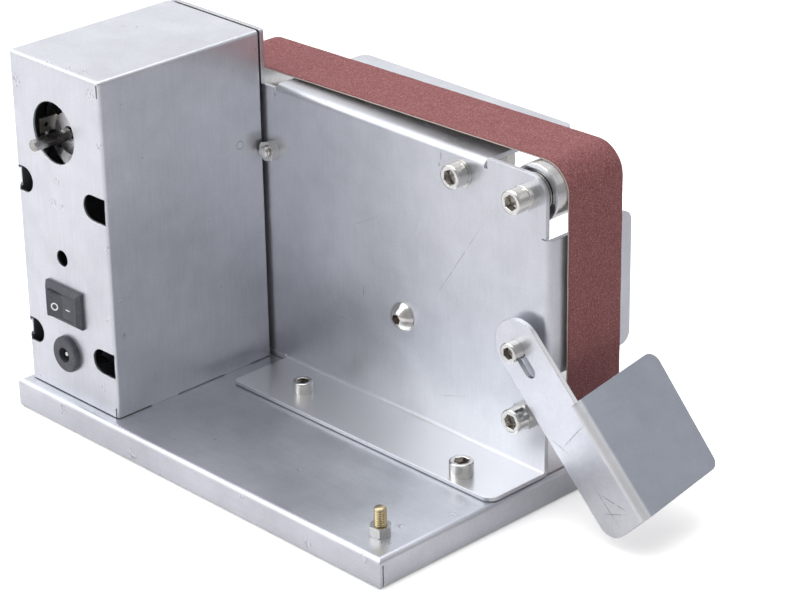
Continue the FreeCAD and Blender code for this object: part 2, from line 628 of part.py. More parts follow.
# ---------------------------------------------------------------- belt
# x, z, radius, clockwise as seen from the front
BELT_WHEELS = [
    (MOTOR_X, MOTOR_Z, DRIVE_R),
    (TOP_X, TOP_Z, ROLLER_R),
    (LOW_X, LOW_Z, ROLLER_R),
    (IDLER_X, IDLER_Z, IDLER_R),
]


def belt_loop(offset):
    """solid filling the closed loop that runs at an offset outside the wheels"""
    def point(x, z):
        return Vector(x, BELT_Y0, z)

    wheels = [(x, z, radius + offset) for x, z, radius in BELT_WHEELS]
    next_wheels = wheels[1:] + wheels[:1]
    runs = []          # ends of each straight run
    for (x1, z1, r1), (x2, z2, r2) in zip(wheels, next_wheels):
        span = math.hypot(x2 - x1, z2 - z1)
        dir_x, dir_z = (x2 - x1) / span, (z2 - z1) / span
        sine = (r1 - r2) / span
        cosine = math.sqrt(1 - sine * sine)
        # outward normal of the run, to the left of the direction of travel
        out_x = -dir_z * cosine + dir_x * sine
        out_z = dir_x * cosine + dir_z * sine
        runs.append(((x1 + out_x * r1, z1 + out_z * r1), (x2 + out_x * r2, z2 + out_z * r2)))
    edges = []
    for (start, end), (leave, _), (x, z, radius) in zip(runs, runs[1:] + runs[:1], next_wheels):
        edges.append(Part.makeLine(point(*start), point(*end)))
        angle_in = math.atan2(end[1] - z, end[0] - x)
        angle_out = math.atan2(leave[1] - z, leave[0] - x)
        while angle_out > angle_in:
            angle_out -= 2 * math.pi
        middle = (angle_in + angle_out) / 2
        edges.append(Part.Arc(
            point(*end),
            point(x + radius * math.cos(middle), z + radius * math.sin(middle)),
            point(*leave)).toShape())
    return Part.Face(Part.Wire(edges)).extrude(Y * BELT_W)


node("abrasive_belt", belt_loop(BELT_GAP + BELT_T).cut(belt_loop(BELT_GAP)))

# ---------------------------------------------------------------- rollers
BEARING_W = 6.0
BEARING_IN = 0.3       # front bearing inside the sleeve end
SEAT_L = BEARING_IN + BEARING_W
STAND_OFF = 4.8        # roller bolt heads stand off the plate
BOLT_FACE = PLATE_Y - STAND_OFF - M6.head_h
TOP_Y0, TOP_Y1 = 93.6, 127.6
LOW_Y0, LOW_Y1 = 101.4, 129.4
IDLER_Y0, IDLER_Y1 = 99.6, 129.6


def roller(prefix, x, z, y0, y1, radius, inner_node):
    """sleeve on two bearings; returns the tube between the bearings"""
    sleeve = cyl_y(x, z, radius, y0, y1)
    sleeve = sleeve.makeChamfer(0.4, circle_edges(sleeve))
    sleeve = sleeve.cut(cyl_y(x, z, BEARING_R, y0 - 1, y0 + SEAT_L))
    sleeve = sleeve.cut(cyl_y(x, z, BEARING_R, y1 - SEAT_L, y1 + 1))
    sleeve = sleeve.cut(cyl_y(x, z, 8.2, y0 - 1, y1 + 1))
    node(prefix + "_sleeve", sleeve)
    for start in (y0 + BEARING_IN, y1 - SEAT_L):
        end = start + BEARING_W
        outer = tube_y(x, z, 7.9, BEARING_R, start, end)
        outer = outer.makeChamfer(0.3, circle_edges(outer, wider_than=9))
        shield = tube_y(x, z, 4.75, 7.95, start + 0.35, end - 0.35)
        node(prefix + "_bearing_rings", outer.fuse(shield).removeSplitter())
        node(inner_node, tube_y(x, z, M6.shank_r, 4.7, start, end))
    return tube_y(x, z, M6.shank_r, 4.4, y0 + SEAT_L, y1 - SEAT_L)


def bolted_roller(prefix, x, z, y0, y1, bolt_end, bolt_turn, nut_h, nut_turn):
    """roller on a cap screw through the plate, with spacers and a nut at the back"""
    middle = roller(prefix, x, z, y0, y1, ROLLER_R, "roller_inner_rings")
    node("spacer_tubes", tube_y(x, z, M6.shank_r, 4.6, PLATE_BACK, y0 + BEARING_IN), middle,
         tube_y(x, z, M6.shank_r, 5.6, y1 - 0.3, y1 + 0.7))
    node(prefix + "_axle_bolt", cap_screw(M6, x, BOLT_FACE, z, bolt_end, bolt_turn))
    node("m6_nuts", metric_nut(M6, x, y1 + 0.7, z, Y, nut_turn, nut_h))


bolted_roller("roller_top", TOP_X, TOP_Z, TOP_Y0, TOP_Y1,
              bolt_end=134.6, bolt_turn=15, nut_h=4.6, nut_turn=10)
spacer = tube_y(TOP_X, TOP_Z, M6.shank_r, 5.2, PLATE_Y - STAND_OFF, PLATE_Y)
spacer = spacer.makeFillet(0.3, circle_edges(spacer, y=PLATE_Y - STAND_OFF, wider_than=5))
node("roller_top_front_spacer", spacer)
for y0, y1 in ((0.0, 0.75), (0.9, 1.5)):
    node("washers", tube_y(TOP_X, TOP_Z, 4.62, 8.2, PLATE_BACK + y0, PLATE_BACK + y1))

bolted_roller("roller_low", LOW_X, LOW_Z, LOW_Y0, LOW_Y1,
              bolt_end=136.6, bolt_turn=-8, nut_h=5.0, nut_turn=40)
node("roller_low_front_nut",
     metric_nut(M6, LOW_X, PLATE_Y - STAND_OFF, LOW_Z, Y, 12, STAND_OFF))

# support bolt under the top platen
SUPPORT_WASHER_T = 1.0
SUPPORT_TUBE_END = 109.6
node("platen_support_bolt", cap_screw(M6, SUPPORT_X, PLATE_Y - M6.head_h - SUPPORT_WASHER_T,
                                      SUPPORT_Z, 115.4, 30))
node("washers", tube_y(SUPPORT_X, SUPPORT_Z, 3.05, 5.6, PLATE_Y - SUPPORT_WASHER_T, PLATE_Y))
node("spacer_tubes", tube_y(SUPPORT_X, SUPPORT_Z, 3.05, 5.4, PLATE_BACK, SUPPORT_TUBE_END))
node("m6_nuts", metric_nut(M6, SUPPORT_X, SUPPORT_TUBE_END, SUPPORT_Z, Y, 30))

# ---------------------------------------------------------------- belt tension arm
ARM_Y0, ARM_Y1 = PLATE_BACK + 0.8, PLATE_BACK + 3.3
ARM_PIVOT_R, ARM_TIP_R = 8.0, 5.0
PIN_R = 1.5
BUTTON_H = 4.4
BUTTON_SPHERE_R = 6.8
CLIP_GROOVE_R = 2.5

arm_start = Vector(PIVOT_X, ARM_Y0, PIVOT_Z)
arm_end = Vector(PIN_X, ARM_Y0, PIN_Z)
arm_dir = (arm_end - arm_start).normalize()
arm_side = Vector(-arm_dir.z, 0, arm_dir.x)
arm = polygon([
    arm_start - arm_side * ARM_PIVOT_R, arm_end - arm_side * ARM_TIP_R,
    arm_end + arm_side * ARM_TIP_R, arm_start + arm_side * ARM_PIVOT_R,
]).extrude(Y * (ARM_Y1 - ARM_Y0))
arm = arm.fuse([cyl_y(PIVOT_X, PIVOT_Z, ARM_PIVOT_R, ARM_Y0, ARM_Y1),
                cyl_y(PIN_X, PIN_Z, ARM_TIP_R, ARM_Y0, ARM_Y1)]).removeSplitter()
for x, z, hole_r in ((PIVOT_X, PIVOT_Z, 4.06), (IDLER_X, IDLER_Z, M6.shank_r),
                     (PIN_X, PIN_Z, PIN_R)):
    arm = arm.cut(cyl_y(x, z, hole_r, ARM_Y0 - 1, ARM_Y1 + 1))
node("tension_arm", arm)

# pivot: button head screw from the front, with bush, washers and nut behind the plate
button = cyl_y(PIVOT_X, PIVOT_Z, 6.2, PLATE_Y - BUTTON_H, PLATE_Y)
button = button.common(Part.makeSphere(
    BUTTON_SPHERE_R, Vector(PIVOT_X, PLATE_Y - BUTTON_H + BUTTON_SPHERE_R, PIVOT_Z)))
pivot = button.fuse(cyl_y(PIVOT_X, PIVOT_Z, M6.shank_r, PLATE_Y - 0.5, PLATE_BACK + 6.4))
pivot = pivot.removeSplitter()
pivot = pivot.cut(hexagon(PIVOT_X, PLATE_Y - BUTTON_H - 1, PIVOT_Z, Y, 4.0, 1 + 2.4, 10))
node("tension_pivot_screw", pivot)
node("spacer_tubes",
     tube_y(PIVOT_X, PIVOT_Z, M6.shank_r, 4.0, PLATE_BACK, PLATE_BACK + 3.4))
node("washers", tube_y(PIVOT_X, PIVOT_Z, 4.02, 7.4, PLATE_BACK, PLATE_BACK + 0.75),
     tube_y(PIVOT_X, PIVOT_Z, M6.shank_r, 7.4, PLATE_BACK + 3.4, PLATE_BACK + 3.9))
node("m6_nuts", metric_nut(M6, PIVOT_X, PLATE_BACK + 3.9, PIVOT_Z, Y, 5, 2.4))

# idler axle in the arm, with a collar and a groove for the clip
axle = cyl_y(IDLER_X, IDLER_Z, M6.shank_r, ARM_Y0, 131.2)
axle = axle.fuse(cyl_y(IDLER_X, IDLER_Z, 4.4, ARM_Y1, IDLER_Y0 + BEARING_IN)).removeSplitter()
axle = axle.cut(tube_y(IDLER_X, IDLER_Z, CLIP_GROOVE_R, 4, 129.7, 130.5))
node("idler_axle", axle)
node("idler_inner_rings", roller("idler", IDLER_X, IDLER_Z, IDLER_Y0, IDLER_Y1, IDLER_R,
                                 "idler_inner_rings"))
node("idler_clip", tube_y(IDLER_X, IDLER_Z, CLIP_GROOVE_R, 4.6, 129.75, 130.45))

# ---------------------------------------------------------------- tension spring
SPRING_Y = 99.0
HOOK_L = 8.0           # from pin or post centre to the coils
WIRE_R = 0.5
COIL_R = 2.7
POST_FRONT = PLATE_Y - 6.0

pin = cyl_y(PIN_X, PIN_Z, PIN_R, ARM_Y0, 102.4)
node("spring_pin", pin.fuse(cyl_y(PIN_X, PIN_Z, 2.4, 101.4, 102.4)).removeSplitter())

# post with a groove for the hook, thread grooves in front and a hexagonal head at the back
post = cyl_y(POST_X, POST_Z, M5.shank_r, POST_FRONT, 103.4)
post = post.makeChamfer(0.4, circle_edges(post, y=POST_FRONT))
post = post.cut(tube_y(POST_X, POST_Z, 1.9, 3.2, SPRING_Y - 0.9, SPRING_Y + 0.9))
post = post.cut(thread_grooves(tube_y, POST_X, POST_Z, 2.25, PLATE_Y - 5.4, 2))
post = post.fuse(hexagon(POST_X, 103.0, POST_Z, Y, 8.0, 3.0)).removeSplitter()
node("spring_post", post)
node("m5_nuts", metric_nut(M5, POST_X, PLATE_Y - M5.nut_h, POST_Z, Y, 18),
     metric_nut(M5, POST_X, PLATE_BACK, POST_Z, Y, 0))


def coil_body(length):
    """closed coils along +z from the origin: hollow, grooved outside, ends closed"""
    outer_r = COIL_R + WIRE_R
    body = Part.makeCylinder(outer_r, length)
    body = body.cut(Part.makeCylinder(COIL_R - WIRE_R, length - 2.0, Vector(0, 0, 1.0)))
    turns = int(length / (2.2 * WIRE_R))
    grooves = []
    for i in range(1, turns):
        z = length * i / turns
        groove = Part.makeCylinder(outer_r + 1, 0.3, Vector(0, 0, z - 0.15))
        grooves.append(groove.cut(Part.makeCylinder(outer_r - 0.3, 0.4, Vector(0, 0, z - 0.2))))
    return body.cut(Part.makeCompound(grooves))


post_at = Vector(POST_X, SPRING_Y, POST_Z)
pin_at = Vector(PIN_X, SPRING_Y, PIN_Z)
spring_dir = pin_at - post_at
coil_l = spring_dir.Length - 2 * HOOK_L
spring_dir.normalize()
spring = coil_body(coil_l)
spring.rotate(ORIGIN, Y, 90)
spring.rotate(ORIGIN, Y, -math.degrees(math.atan2(spring_dir.z, spring_dir.x)))
spring.translate(post_at + spring_dir * HOOK_L)
# at each end a straight leg and a wire ring round the post or pin
for centre, toward, inner_r in ((post_at, spring_dir, 1.95), (pin_at, spring_dir * -1, 1.6)):
    ring_r = inner_r + WIRE_R
    leg_l = HOOK_L + 0.3 - ring_r
    spring = spring.fuse(Part.makeCylinder(WIRE_R, leg_l, centre + toward * ring_r, toward))
    ring = Part.makeTorus(ring_r, WIRE_R)
    ring.rotate(ORIGIN, X, 90)
    ring.translate(centre)
    spring = spring.fuse(ring)
node("tension_spring", spring)

# ---------------------------------------------------------------- work rest
# modelled along +x from the bolt, table edge at +z, then turned to its angle
REST_BACK = REST_Y0 + REST_T
rest = box(0, REST_END, REST_Y0, REST_BACK, -REST_LOW, REST_HALF - BEND_R)
rest = rest.fuse(cyl_y(0, (REST_HALF - REST_LOW) / 2, (REST_HALF + REST_LOW) / 2,
                       REST_Y0, REST_BACK))
rest = rest.fuse(box(0, TABLE_S0 + 0.6, REST_Y0, REST_BACK, 0, REST_HALF))
rest = rest.removeSplitter()
rest = round_edges(rest, Y, lambda p: same(p.x, REST_END) and p.z < 0, REST_CORNER_R)

bend = bend_section(Vector(TABLE_S0, REST_Y0, REST_HALF), Y, Z * -1)
bend = bend.extrude(X * (TABLE_S1 - TABLE_S0))
near_y = REST_Y0 + BEND_R
far_y = REST_Y0 + TABLE_DEEP
table = polygon([Vector(x, y, REST_HALF - REST_T) for x, y in (
    (TABLE_S0, near_y), (TABLE_S1, near_y),
    (TABLE_S1 - TABLE_SKEW, far_y - TABLE_TAPER), (TABLE_S0 - TABLE_SKEW, far_y))])
table = table.extrude(Z * REST_T)
table = round_edges(table, Z, lambda p: p.y > near_y + 10, TABLE_CORNER_R)
rest = rest.fuse([bend, table]).removeSplitter()

slot = box(0, SLOT_L, REST_Y0 - 1, REST_Y0 + 4, -SLOT_R, SLOT_R)
slot = slot.fuse([cyl_y(x, 0, SLOT_R, REST_Y0 - 1, REST_Y0 + 4) for x in (0, SLOT_L)])
rest = rest.cut(slot)
rest.rotate(ORIGIN, Y, REST_ANGLE)
rest.translate(Vector(CLAMP_X, 0, CLAMP_Z))
node("work_rest", rest)
node("rest_clamp_bolt", cap_screw(M5, CLAMP_X, REST_Y0 - M5.head_h - FIT, CLAMP_Z, 98.4, 25))
node("rest_spacer_nut", metric_nut(M5, CLAMP_X, REST_BACK + FIT, CLAMP_Z, Y, 20,
                                   PLATE_Y - REST_BACK - 0.07))
node("rest_lock_nut", metric_nut(M5, CLAMP_X, PLATE_BACK + 0.05, CLAMP_Z, Y, 50, 4.6))

# ---------------------------------------------------------------- rocker switch
BEZEL_Y = BOX_Y0 - 3.0
SWITCH_BACK = BOX_Y0 + 14.0
ROCKER_Y = BOX_Y0 + 2.0        # rocker axis
ROCKER_TILT = 10.0
ROCKER_HALF_L = 7.3
ROCKER_MID = 5.0               # axis to the middle of the V-shaped front
ROCKER_END = ROCKER_MID + ROCKER_HALF_L * math.tan(math.radians(ROCKER_TILT))
ROCKER_R = math.hypot(ROCKER_HALF_L, ROCKER_END)
ROCKER_HALF_H = 5.2
SWITCH_TAB_OFFS = (-6.5, 0.0, 6.5)

# bezel and housing with a cavity for the rocker
housing = box(SWITCH_X - 11.35, SWITCH_X + 11.35, BEZEL_Y, BOX_Y0, SWITCH_Z - 8.0, SWITCH_Z + 8.0)
housing = housing.makeChamfer(1.7, edges_at(housing, "y", BEZEL_Y))
housing = housing.fuse(box(SWITCH_X - 10.3, SWITCH_X + 10.3, BOX_Y0 - 0.2, SWITCH_BACK,
                           SWITCH_Z - 6.9, SWITCH_Z + 6.9))
housing = housing.removeSplitter()
for hole_r, half_h in ((ROCKER_R + 0.22, 5.4), (1.05, 6.1)):
    housing = housing.cut(cyl_z(SWITCH_X, ROCKER_Y, hole_r, SWITCH_Z - half_h, SWITCH_Z + half_h))
node("switch_housing", housing)


def rocker():
    """rocker section about its axis, extruded along z, with pivot pins"""
    half_angle = math.atan2(ROCKER_END, ROCKER_HALF_L) / 2.0
    arc_x, arc_y = ROCKER_R * math.cos(half_angle), -ROCKER_R * math.sin(half_angle)
    right_tip = Vector(ROCKER_HALF_L, -ROCKER_END, 0)
    left_tip = Vector(-ROCKER_HALF_L, -ROCKER_END, 0)
    middle = Vector(0, -ROCKER_MID, 0)
    left, right = Vector(-ROCKER_R, 0, 0), Vector(ROCKER_R, 0, 0)
    back_left, back_right = Vector(-5.0, 4.2, 0), Vector(5.0, 4.2, 0)
    solid = Part.Face(Part.Wire([
        Part.makeLine(right_tip, middle),
        Part.makeLine(middle, left_tip),
        Part.Arc(left_tip, Vector(-arc_x, arc_y, 0), left).toShape(),
        Part.makeLine(left, back_left),
        Part.makeLine(back_left, back_right),
        Part.makeLine(back_right, right),
        Part.Arc(right, Vector(arc_x, arc_y, 0), right_tip).toShape(),
    ])).extrude(Z * (2 * ROCKER_HALF_H))
    solid.translate(Vector(0, 0, -ROCKER_HALF_H))
    solid = solid.fuse(cyl_z(0, 0, 1.0, -5.9, 5.9)).removeSplitter()
    solid.rotate(ORIGIN, Z, ROCKER_TILT)
    solid.translate(Vector(SWITCH_X, ROCKER_Y, SWITCH_Z))
    return solid


node("switch_rocker", rocker())
for offset in SWITCH_TAB_OFFS:
    x = SWITCH_X + offset
    node("solder_tabs", box(x - 0.4, x + 0.4, SWITCH_BACK + FIT, BOX_Y0 + 21.0,
                            SWITCH_Z - 2.3, SWITCH_Z + 2.3))

# ---------------------------------------------------------------- DC jack
JACK_Y = BOX_Y0 - 2.6          # front face
JACK_BACK = BOX_Y0 + 13.6
JACK_BODY_R = 5.7
JACK_PIN_R = 1.1
JACK_TAB_OFF = 2.9

jack = cyl_y(JACK_X, JACK_Z, 7.8, JACK_Y, BOX_Y0)
jack = jack.makeFillet(1.2, circle_edges(jack, y=JACK_Y))
jack = jack.fuse(cyl_y(JACK_X, JACK_Z, JACK_BODY_R, BOX_Y0 - 0.5, JACK_BACK)).removeSplitter()
jack = jack.cut(cyl_y(JACK_X, JACK_Z, 3.3, JACK_Y - 1, JACK_Y + 11.0))
jack = jack.cut(cyl_y(JACK_X, JACK_Z, JACK_PIN_R, JACK_Y + 10, BOX_Y0 + 14))
for x in (JACK_X - JACK_TAB_OFF, JACK_X + JACK_TAB_OFF):
    jack = jack.cut(box(x - 0.7, x + 0.7, BOX_Y0 + 11.6, BOX_Y0 + 14,
                        JACK_Z - 1.3, JACK_Z + 1.3))
    node("solder_tabs", box(x - 0.35, x + 0.35, BOX_Y0 + 11.7, BOX_Y0 + 18.4,
                            JACK_Z - 1.2, JACK_Z + 1.2))
node("jack_body", jack)
jack_pin = cyl_y(JACK_X, JACK_Z, JACK_PIN_R, JACK_Y + 1.2, JACK_BACK)
jack_pin = jack_pin.makeFillet(0.5, circle_edges(jack_pin, y=JACK_Y + 1.2))
node("jack_pin", jack_pin)
node("jack_nut", hex_nut(JACK_X, BOX_Y0 + BOX_T + FIT, JACK_Z, Y, 14.0, 2.6, JACK_BODY_R))

# ---------------------------------------------------------------- wiring
WIRING_R = 0.9
JACK_WIRE_Y = BOX_Y0 + 18.6
SWITCH_WIRE_Y = BOX_Y0 + 21.2
SWITCH_LEFT_X = SWITCH_X + SWITCH_TAB_OFFS[0]
TERMINAL_LEFT_X = MOTOR_X - TERMINAL_OFF
TERMINAL_RIGHT_X = MOTOR_X + TERMINAL_OFF
# x, y, z along each wire
JACK_TO_SWITCH = [
    (JACK_X - JACK_TAB_OFF, JACK_WIRE_Y, JACK_Z),
    (JACK_X - JACK_TAB_OFF, BOX_Y0 + 26, JACK_Z + 1),
    (SWITCH_LEFT_X, BOX_Y0 + 28, SWITCH_Z - 6),
    (SWITCH_LEFT_X, BOX_Y0 + 24.5, SWITCH_Z),
    (SWITCH_LEFT_X, SWITCH_WIRE_Y, SWITCH_Z),
]
SWITCH_TO_MOTOR = [
    (SWITCH_X, SWITCH_WIRE_Y, SWITCH_Z),
    (SWITCH_X, BOX_Y0 + 25, SWITCH_Z),
    (SWITCH_X, BOX_Y0 + 30, SWITCH_Z + 5),
    (50.0, 26.0, 86.0),
    (52.6, 15.0, 104.0),
    (TERMINAL_RIGHT_X, 14.0, MOTOR_Z - 9.0),
    (TERMINAL_RIGHT_X, CAP_Y - 4.4, MOTOR_Z - 4.7),
]
JACK_TO_MOTOR = [
    (JACK_X + JACK_TAB_OFF, JACK_WIRE_Y, JACK_Z),
    (JACK_X + JACK_TAB_OFF, BOX_Y0 + 30, JACK_Z + 2),
    (12.0, 36.0, 62.0),
    (11.6, 15.0, 104.0),
    (TERMINAL_LEFT_X, 14.0, MOTOR_Z - 9.0),
    (TERMINAL_LEFT_X, CAP_Y - 4.4, MOTOR_Z - 4.7),
]


def wire(stations):
    """round cable through the stations, with balls at the corners"""
    points = [Vector(*station) for station in stations]
    pieces = [Part.makeCylinder(WIRING_R, (b - a).Length, a, b - a)
              for a, b in zip(points, points[1:])]
    pieces += [Part.makeSphere(WIRING_R, point) for point in points[1:-1]]
    return pieces[0].fuse(pieces[1:]).removeSplitter()


node("wires_red", wire(JACK_TO_SWITCH), wire(SWITCH_TO_MOTOR))
node("wire_black", wire(JACK_TO_MOTOR))

# ---------------------------------------------------------------- export
# the machine's box runs from the left side of the base to the far corner of the rest
# and from the shaft tip to the far edge of the top platen
right_x = max(solid.BoundBox.XMax for solids in NODES.values() for solid in solids)
shift = Vector(-right_x / 2.0, -(SHAFT_TIP_Y + PLATEN_TOP_Y) / 2.0, FOOT_GAP)

for name, solids in NODES.items():
    moved = []
    for solid in solids:
        solid = solid.copy()
        solid.translate(shift)
        moved.append(solid)
    shape = moved[0] if len(moved) == 1 else Part.makeCompound(moved)
    shape.exportStep("parts/" + name + ".step")
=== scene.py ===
import math
import random
from functools import reduce
from itertools import accumulate

import bmesh
import bpy
from mathutils import Matrix, Vector, noise

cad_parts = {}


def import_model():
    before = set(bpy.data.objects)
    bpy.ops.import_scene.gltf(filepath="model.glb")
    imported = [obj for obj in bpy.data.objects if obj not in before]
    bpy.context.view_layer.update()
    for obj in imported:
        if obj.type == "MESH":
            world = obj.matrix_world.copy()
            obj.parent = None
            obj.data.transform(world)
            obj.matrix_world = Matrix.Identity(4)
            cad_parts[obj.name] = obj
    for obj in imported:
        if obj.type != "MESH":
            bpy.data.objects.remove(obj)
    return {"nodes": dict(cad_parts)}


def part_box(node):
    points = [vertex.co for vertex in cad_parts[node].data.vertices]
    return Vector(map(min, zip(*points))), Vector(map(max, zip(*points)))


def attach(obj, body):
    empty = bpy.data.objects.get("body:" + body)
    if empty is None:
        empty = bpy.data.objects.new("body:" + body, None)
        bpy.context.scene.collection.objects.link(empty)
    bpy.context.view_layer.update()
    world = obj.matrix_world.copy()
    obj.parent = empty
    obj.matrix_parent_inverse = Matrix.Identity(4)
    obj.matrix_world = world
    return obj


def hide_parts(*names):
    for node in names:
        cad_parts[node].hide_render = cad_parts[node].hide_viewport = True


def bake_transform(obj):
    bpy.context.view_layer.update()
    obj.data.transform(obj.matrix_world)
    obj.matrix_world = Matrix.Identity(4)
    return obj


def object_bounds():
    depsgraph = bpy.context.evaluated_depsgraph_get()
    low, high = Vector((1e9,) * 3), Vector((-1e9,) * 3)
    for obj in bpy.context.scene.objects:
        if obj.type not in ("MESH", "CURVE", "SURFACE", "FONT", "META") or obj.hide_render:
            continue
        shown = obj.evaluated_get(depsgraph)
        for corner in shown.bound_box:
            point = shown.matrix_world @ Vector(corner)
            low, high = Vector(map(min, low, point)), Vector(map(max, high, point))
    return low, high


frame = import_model()
CAD_LOW, CAD_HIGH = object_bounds()
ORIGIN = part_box("base_pan")[0]
FRAME = "frame"
Y_AXIS, Z_AXIS = Vector((0, 1, 0)), Vector((0, 0, 1))


def point(x, y, z):
    """A place given in mm, as a scene position."""
    return Vector((ORIGIN.x + x / 1000.0, ORIGIN.y + y / 1000.0, ORIGIN.z + z / 1000.0))


# =====================================================================
# main places and sizes, mm
# =====================================================================
PAN_TOP = 12.02
PLATE_FRONT = 90.0
REST_FRONT = 84.0
BOX_LEFT, BOX_RIGHT = 3.2, 60.3
BOX_FRONT, BOX_TOP = 5.3, 158.6

# axes along y: x and z
MOTOR_X, MOTOR_Z = 29.7, 127.0
TOP_ROLLER_X, TOP_ROLLER_Z = 211.0, 129.5
LOW_ROLLER_X, LOW_ROLLER_Z = 210.9, 37.5
IDLER_X, IDLER_Z = 126.6, 78.6
DRIVE_RADIUS, ROLLER_RADIUS, IDLER_RADIUS = 10.0, 11.6, 11.0

MOTOR_BACK = PLATE_FRONT - 0.05
MOTOR_FRONT = MOTOR_BACK - 67.3
END_CAP_FRONT = MOTOR_FRONT - 5.2

# jack and switch in the box front, and their solder tabs
JACK_X, JACK_Z = 29.6, 31.8
JACK_TAB = 2.9
SWITCH_X, SWITCH_Z = 30.2, 54.4
SWITCH_TAB_X = SWITCH_X - 6.5
TERMINAL_OFFSET = 15.2
TERMINAL_Y = END_CAP_FRONT - 4.4


# =====================================================================
# shader building
# =====================================================================
class Signal:
    """A shader output that can be added, multiplied and remapped."""

    def __init__(self, graph, socket):
        self.graph = graph
        self.socket = socket

    def __add__(self, other):
        return self.graph.math("ADD", self, other)

    def __radd__(self, other):
        return self.graph.math("ADD", other, self)

    def __sub__(self, other):
        return self.graph.math("SUBTRACT", self, other)

    def __rsub__(self, other):
        return self.graph.math("SUBTRACT", other, self)

    def __mul__(self, other):
        return self.graph.math("MULTIPLY", self, other)

    def __abs__(self):
        return self.graph.math("ABSOLUTE", self, 0.0)

    def sine(self):
        return self.graph.math("SINE", self, 0.0)

    def ramp(self, low=0.3, high=0.7, start=0.0, end=1.0, smooth=False):
        """Maps low..high to start..end; the default stretches a noise to 0..1."""
        node = self.graph.node("MapRange", {"Value": self, "From Min": low, "From Max": high,
                                            "To Min": start, "To Max": end})
        node.clamp = True
        if smooth:
            node.interpolation_type = "SMOOTHSTEP"
        return self.graph.output(node)

    def fade(self, low, high, smooth=False):
        """1 below low, 0 above high."""
        return self.ramp(low=low, high=high, start=1.0, end=0.0, smooth=smooth)


def strongest(signals):
    return reduce(lambda one, other: one.graph.math("MAXIMUM", one, other), signals)


def layered(layers):
    """Sum of (noise, share) pairs, each noise stretched to 0..1 first."""
    return reduce(lambda one, other: one + other,
                  [texture.ramp() * share for texture, share in layers])


class Graph:
    """Node building shared by materials and the world."""

    def __init__(self, tree):
        self.tree = tree
        tree.nodes.clear()

    def put(self, socket, value):
        if isinstance(value, Signal):
            self.tree.links.new(value.socket, socket)
        elif socket.type == "RGBA":
            socket.default_value = (*value[:3], 1.0)
        else:
            socket.default_value = value

    def node(self, kind, inputs=None, **settings):
        node = self.tree.nodes.new("ShaderNode" + kind)
        for name, value in settings.items():
            setattr(node, name, value)
        for key, value in (inputs or {}).items():
            self.put(node.inputs[key], value)
        return node

    def output(self, node, key=0):
        return Signal(self, node.outputs[key])

    def math(self, operation, *values):
        return self.output(self.node("Math", dict(enumerate(values)), operation=operation))

    def split(self, vector):
        parts = self.node("SeparateXYZ", {0: vector}).outputs
        return [Signal(self, part) for part in parts]


class Surface(Graph):
    """A Principled material. Textures are read in mm; bump and bevel lengths are in metres."""

    INPUTS = {"color": "Base Color", "roughness": "Roughness", "metallic": "Metallic",
              "normal": "Normal", "specular": "Specular IOR Level", "sheen": "Sheen Weight",
              "emission": "Emission Color", "emission_strength": "Emission Strength"}

    def __init__(self, name, shift=None):
        self.material = bpy.data.materials.new(name)
        self.material.use_nodes = True
        super().__init__(self.material.node_tree)
        self.principled = self.node("BsdfPrincipled")
        self.node("OutputMaterial", {0: self.output(self.principled)})
        coordinates = self.node("TexCoord")
        self.uv = self.output(coordinates, "UV")
        self.mm = self.scaled(self.output(coordinates, "Object"), factor=1000.0)
        self.space = self.mm if shift is None else self.mapping(self.mm, loc=shift)

    def finish(self, **inputs):
        for name, value in inputs.items():
            self.put(self.principled.inputs[self.INPUTS[name]], value)
        return self.material

    def vector_math(self, operation, inputs, key=0):
        return self.output(self.node("VectorMath", inputs, operation=operation), key)

    def scaled(self, vector, factor):
        return self.vector_math("SCALE", {0: vector, "Scale": factor})

    def offset(self, x, y, z):
        """Vector in mm from a place given in mm."""
        return self.vector_math("SUBTRACT", {0: self.mm, 1: tuple(point(x, y, z) * 1000.0)})

    def length(self, vector):
        return self.vector_math("LENGTH", {0: vector}, key="Value")

    def mapping(self, vector, scale=(1, 1, 1), rot=(0, 0, 0), loc=(0, 0, 0)):
        return self.output(self.node("Mapping", {"Vector": vector, "Scale": scale,
                                                 "Rotation": rot, "Location": loc}))

    def noise(self, scale, detail=3.0, rough=0.5, warp=0.0, space=None):
        return self.output(self.node("TexNoise", {
            "Vector": space or self.space, "Scale": scale, "Detail": detail,
            "Roughness": rough, "Distortion": warp}))

    def voronoi(self, scale, feature="F1", key="Distance", space=None):
        return self.output(self.node("TexVoronoi", {
            "Vector": space or self.space, "Scale": scale, "Randomness": 1.0},
            feature=feature), key)

    def paint(self, under, over, mask, amount=None, blend="MIX"):
        """Lays one colour over another where the mask is 1, times an amount."""
        factor = mask if amount is None else mask * amount
        node = self.node("Mix", data_type="RGBA", blend_type=blend, clamp_factor=True)
        for index, value in ((0, factor), (6, under), (7, over)):
            self.put(node.inputs[index], value)
        return self.output(node, 2)

    def bump(self, height, depth, strength, normal=None):
        inputs = {"Height": height, "Distance": depth, "Strength": strength}
        if normal is not None:
            inputs["Normal"] = normal
        return self.output(self.node("Bump", inputs))

    def bevel(self, radius, normal, samples):
        return self.output(self.node("Bevel", {"Radius": radius, "Normal": normal},
                                     samples=samples))


def linear(code):
    """Linear colour from an sRGB hex code."""
    channels = []
    for start in (0, 2, 4):
        value = int(code[start:start + 2], 16) / 255.0
        channels.append(value / 12.92 if value <= 0.04045 else ((value + 0.055) / 1.055) ** 2.4)
    return tuple(channels)


def toward(color, other, share):
    return tuple(a + (b - a) * share for a, b in zip(color, other))


def darker(color, share):
    return toward(color, (0.0, 0.0, 0.0), share)


def lighter(color, share):
    return toward(color, (1.0, 1.0, 1.0), share)


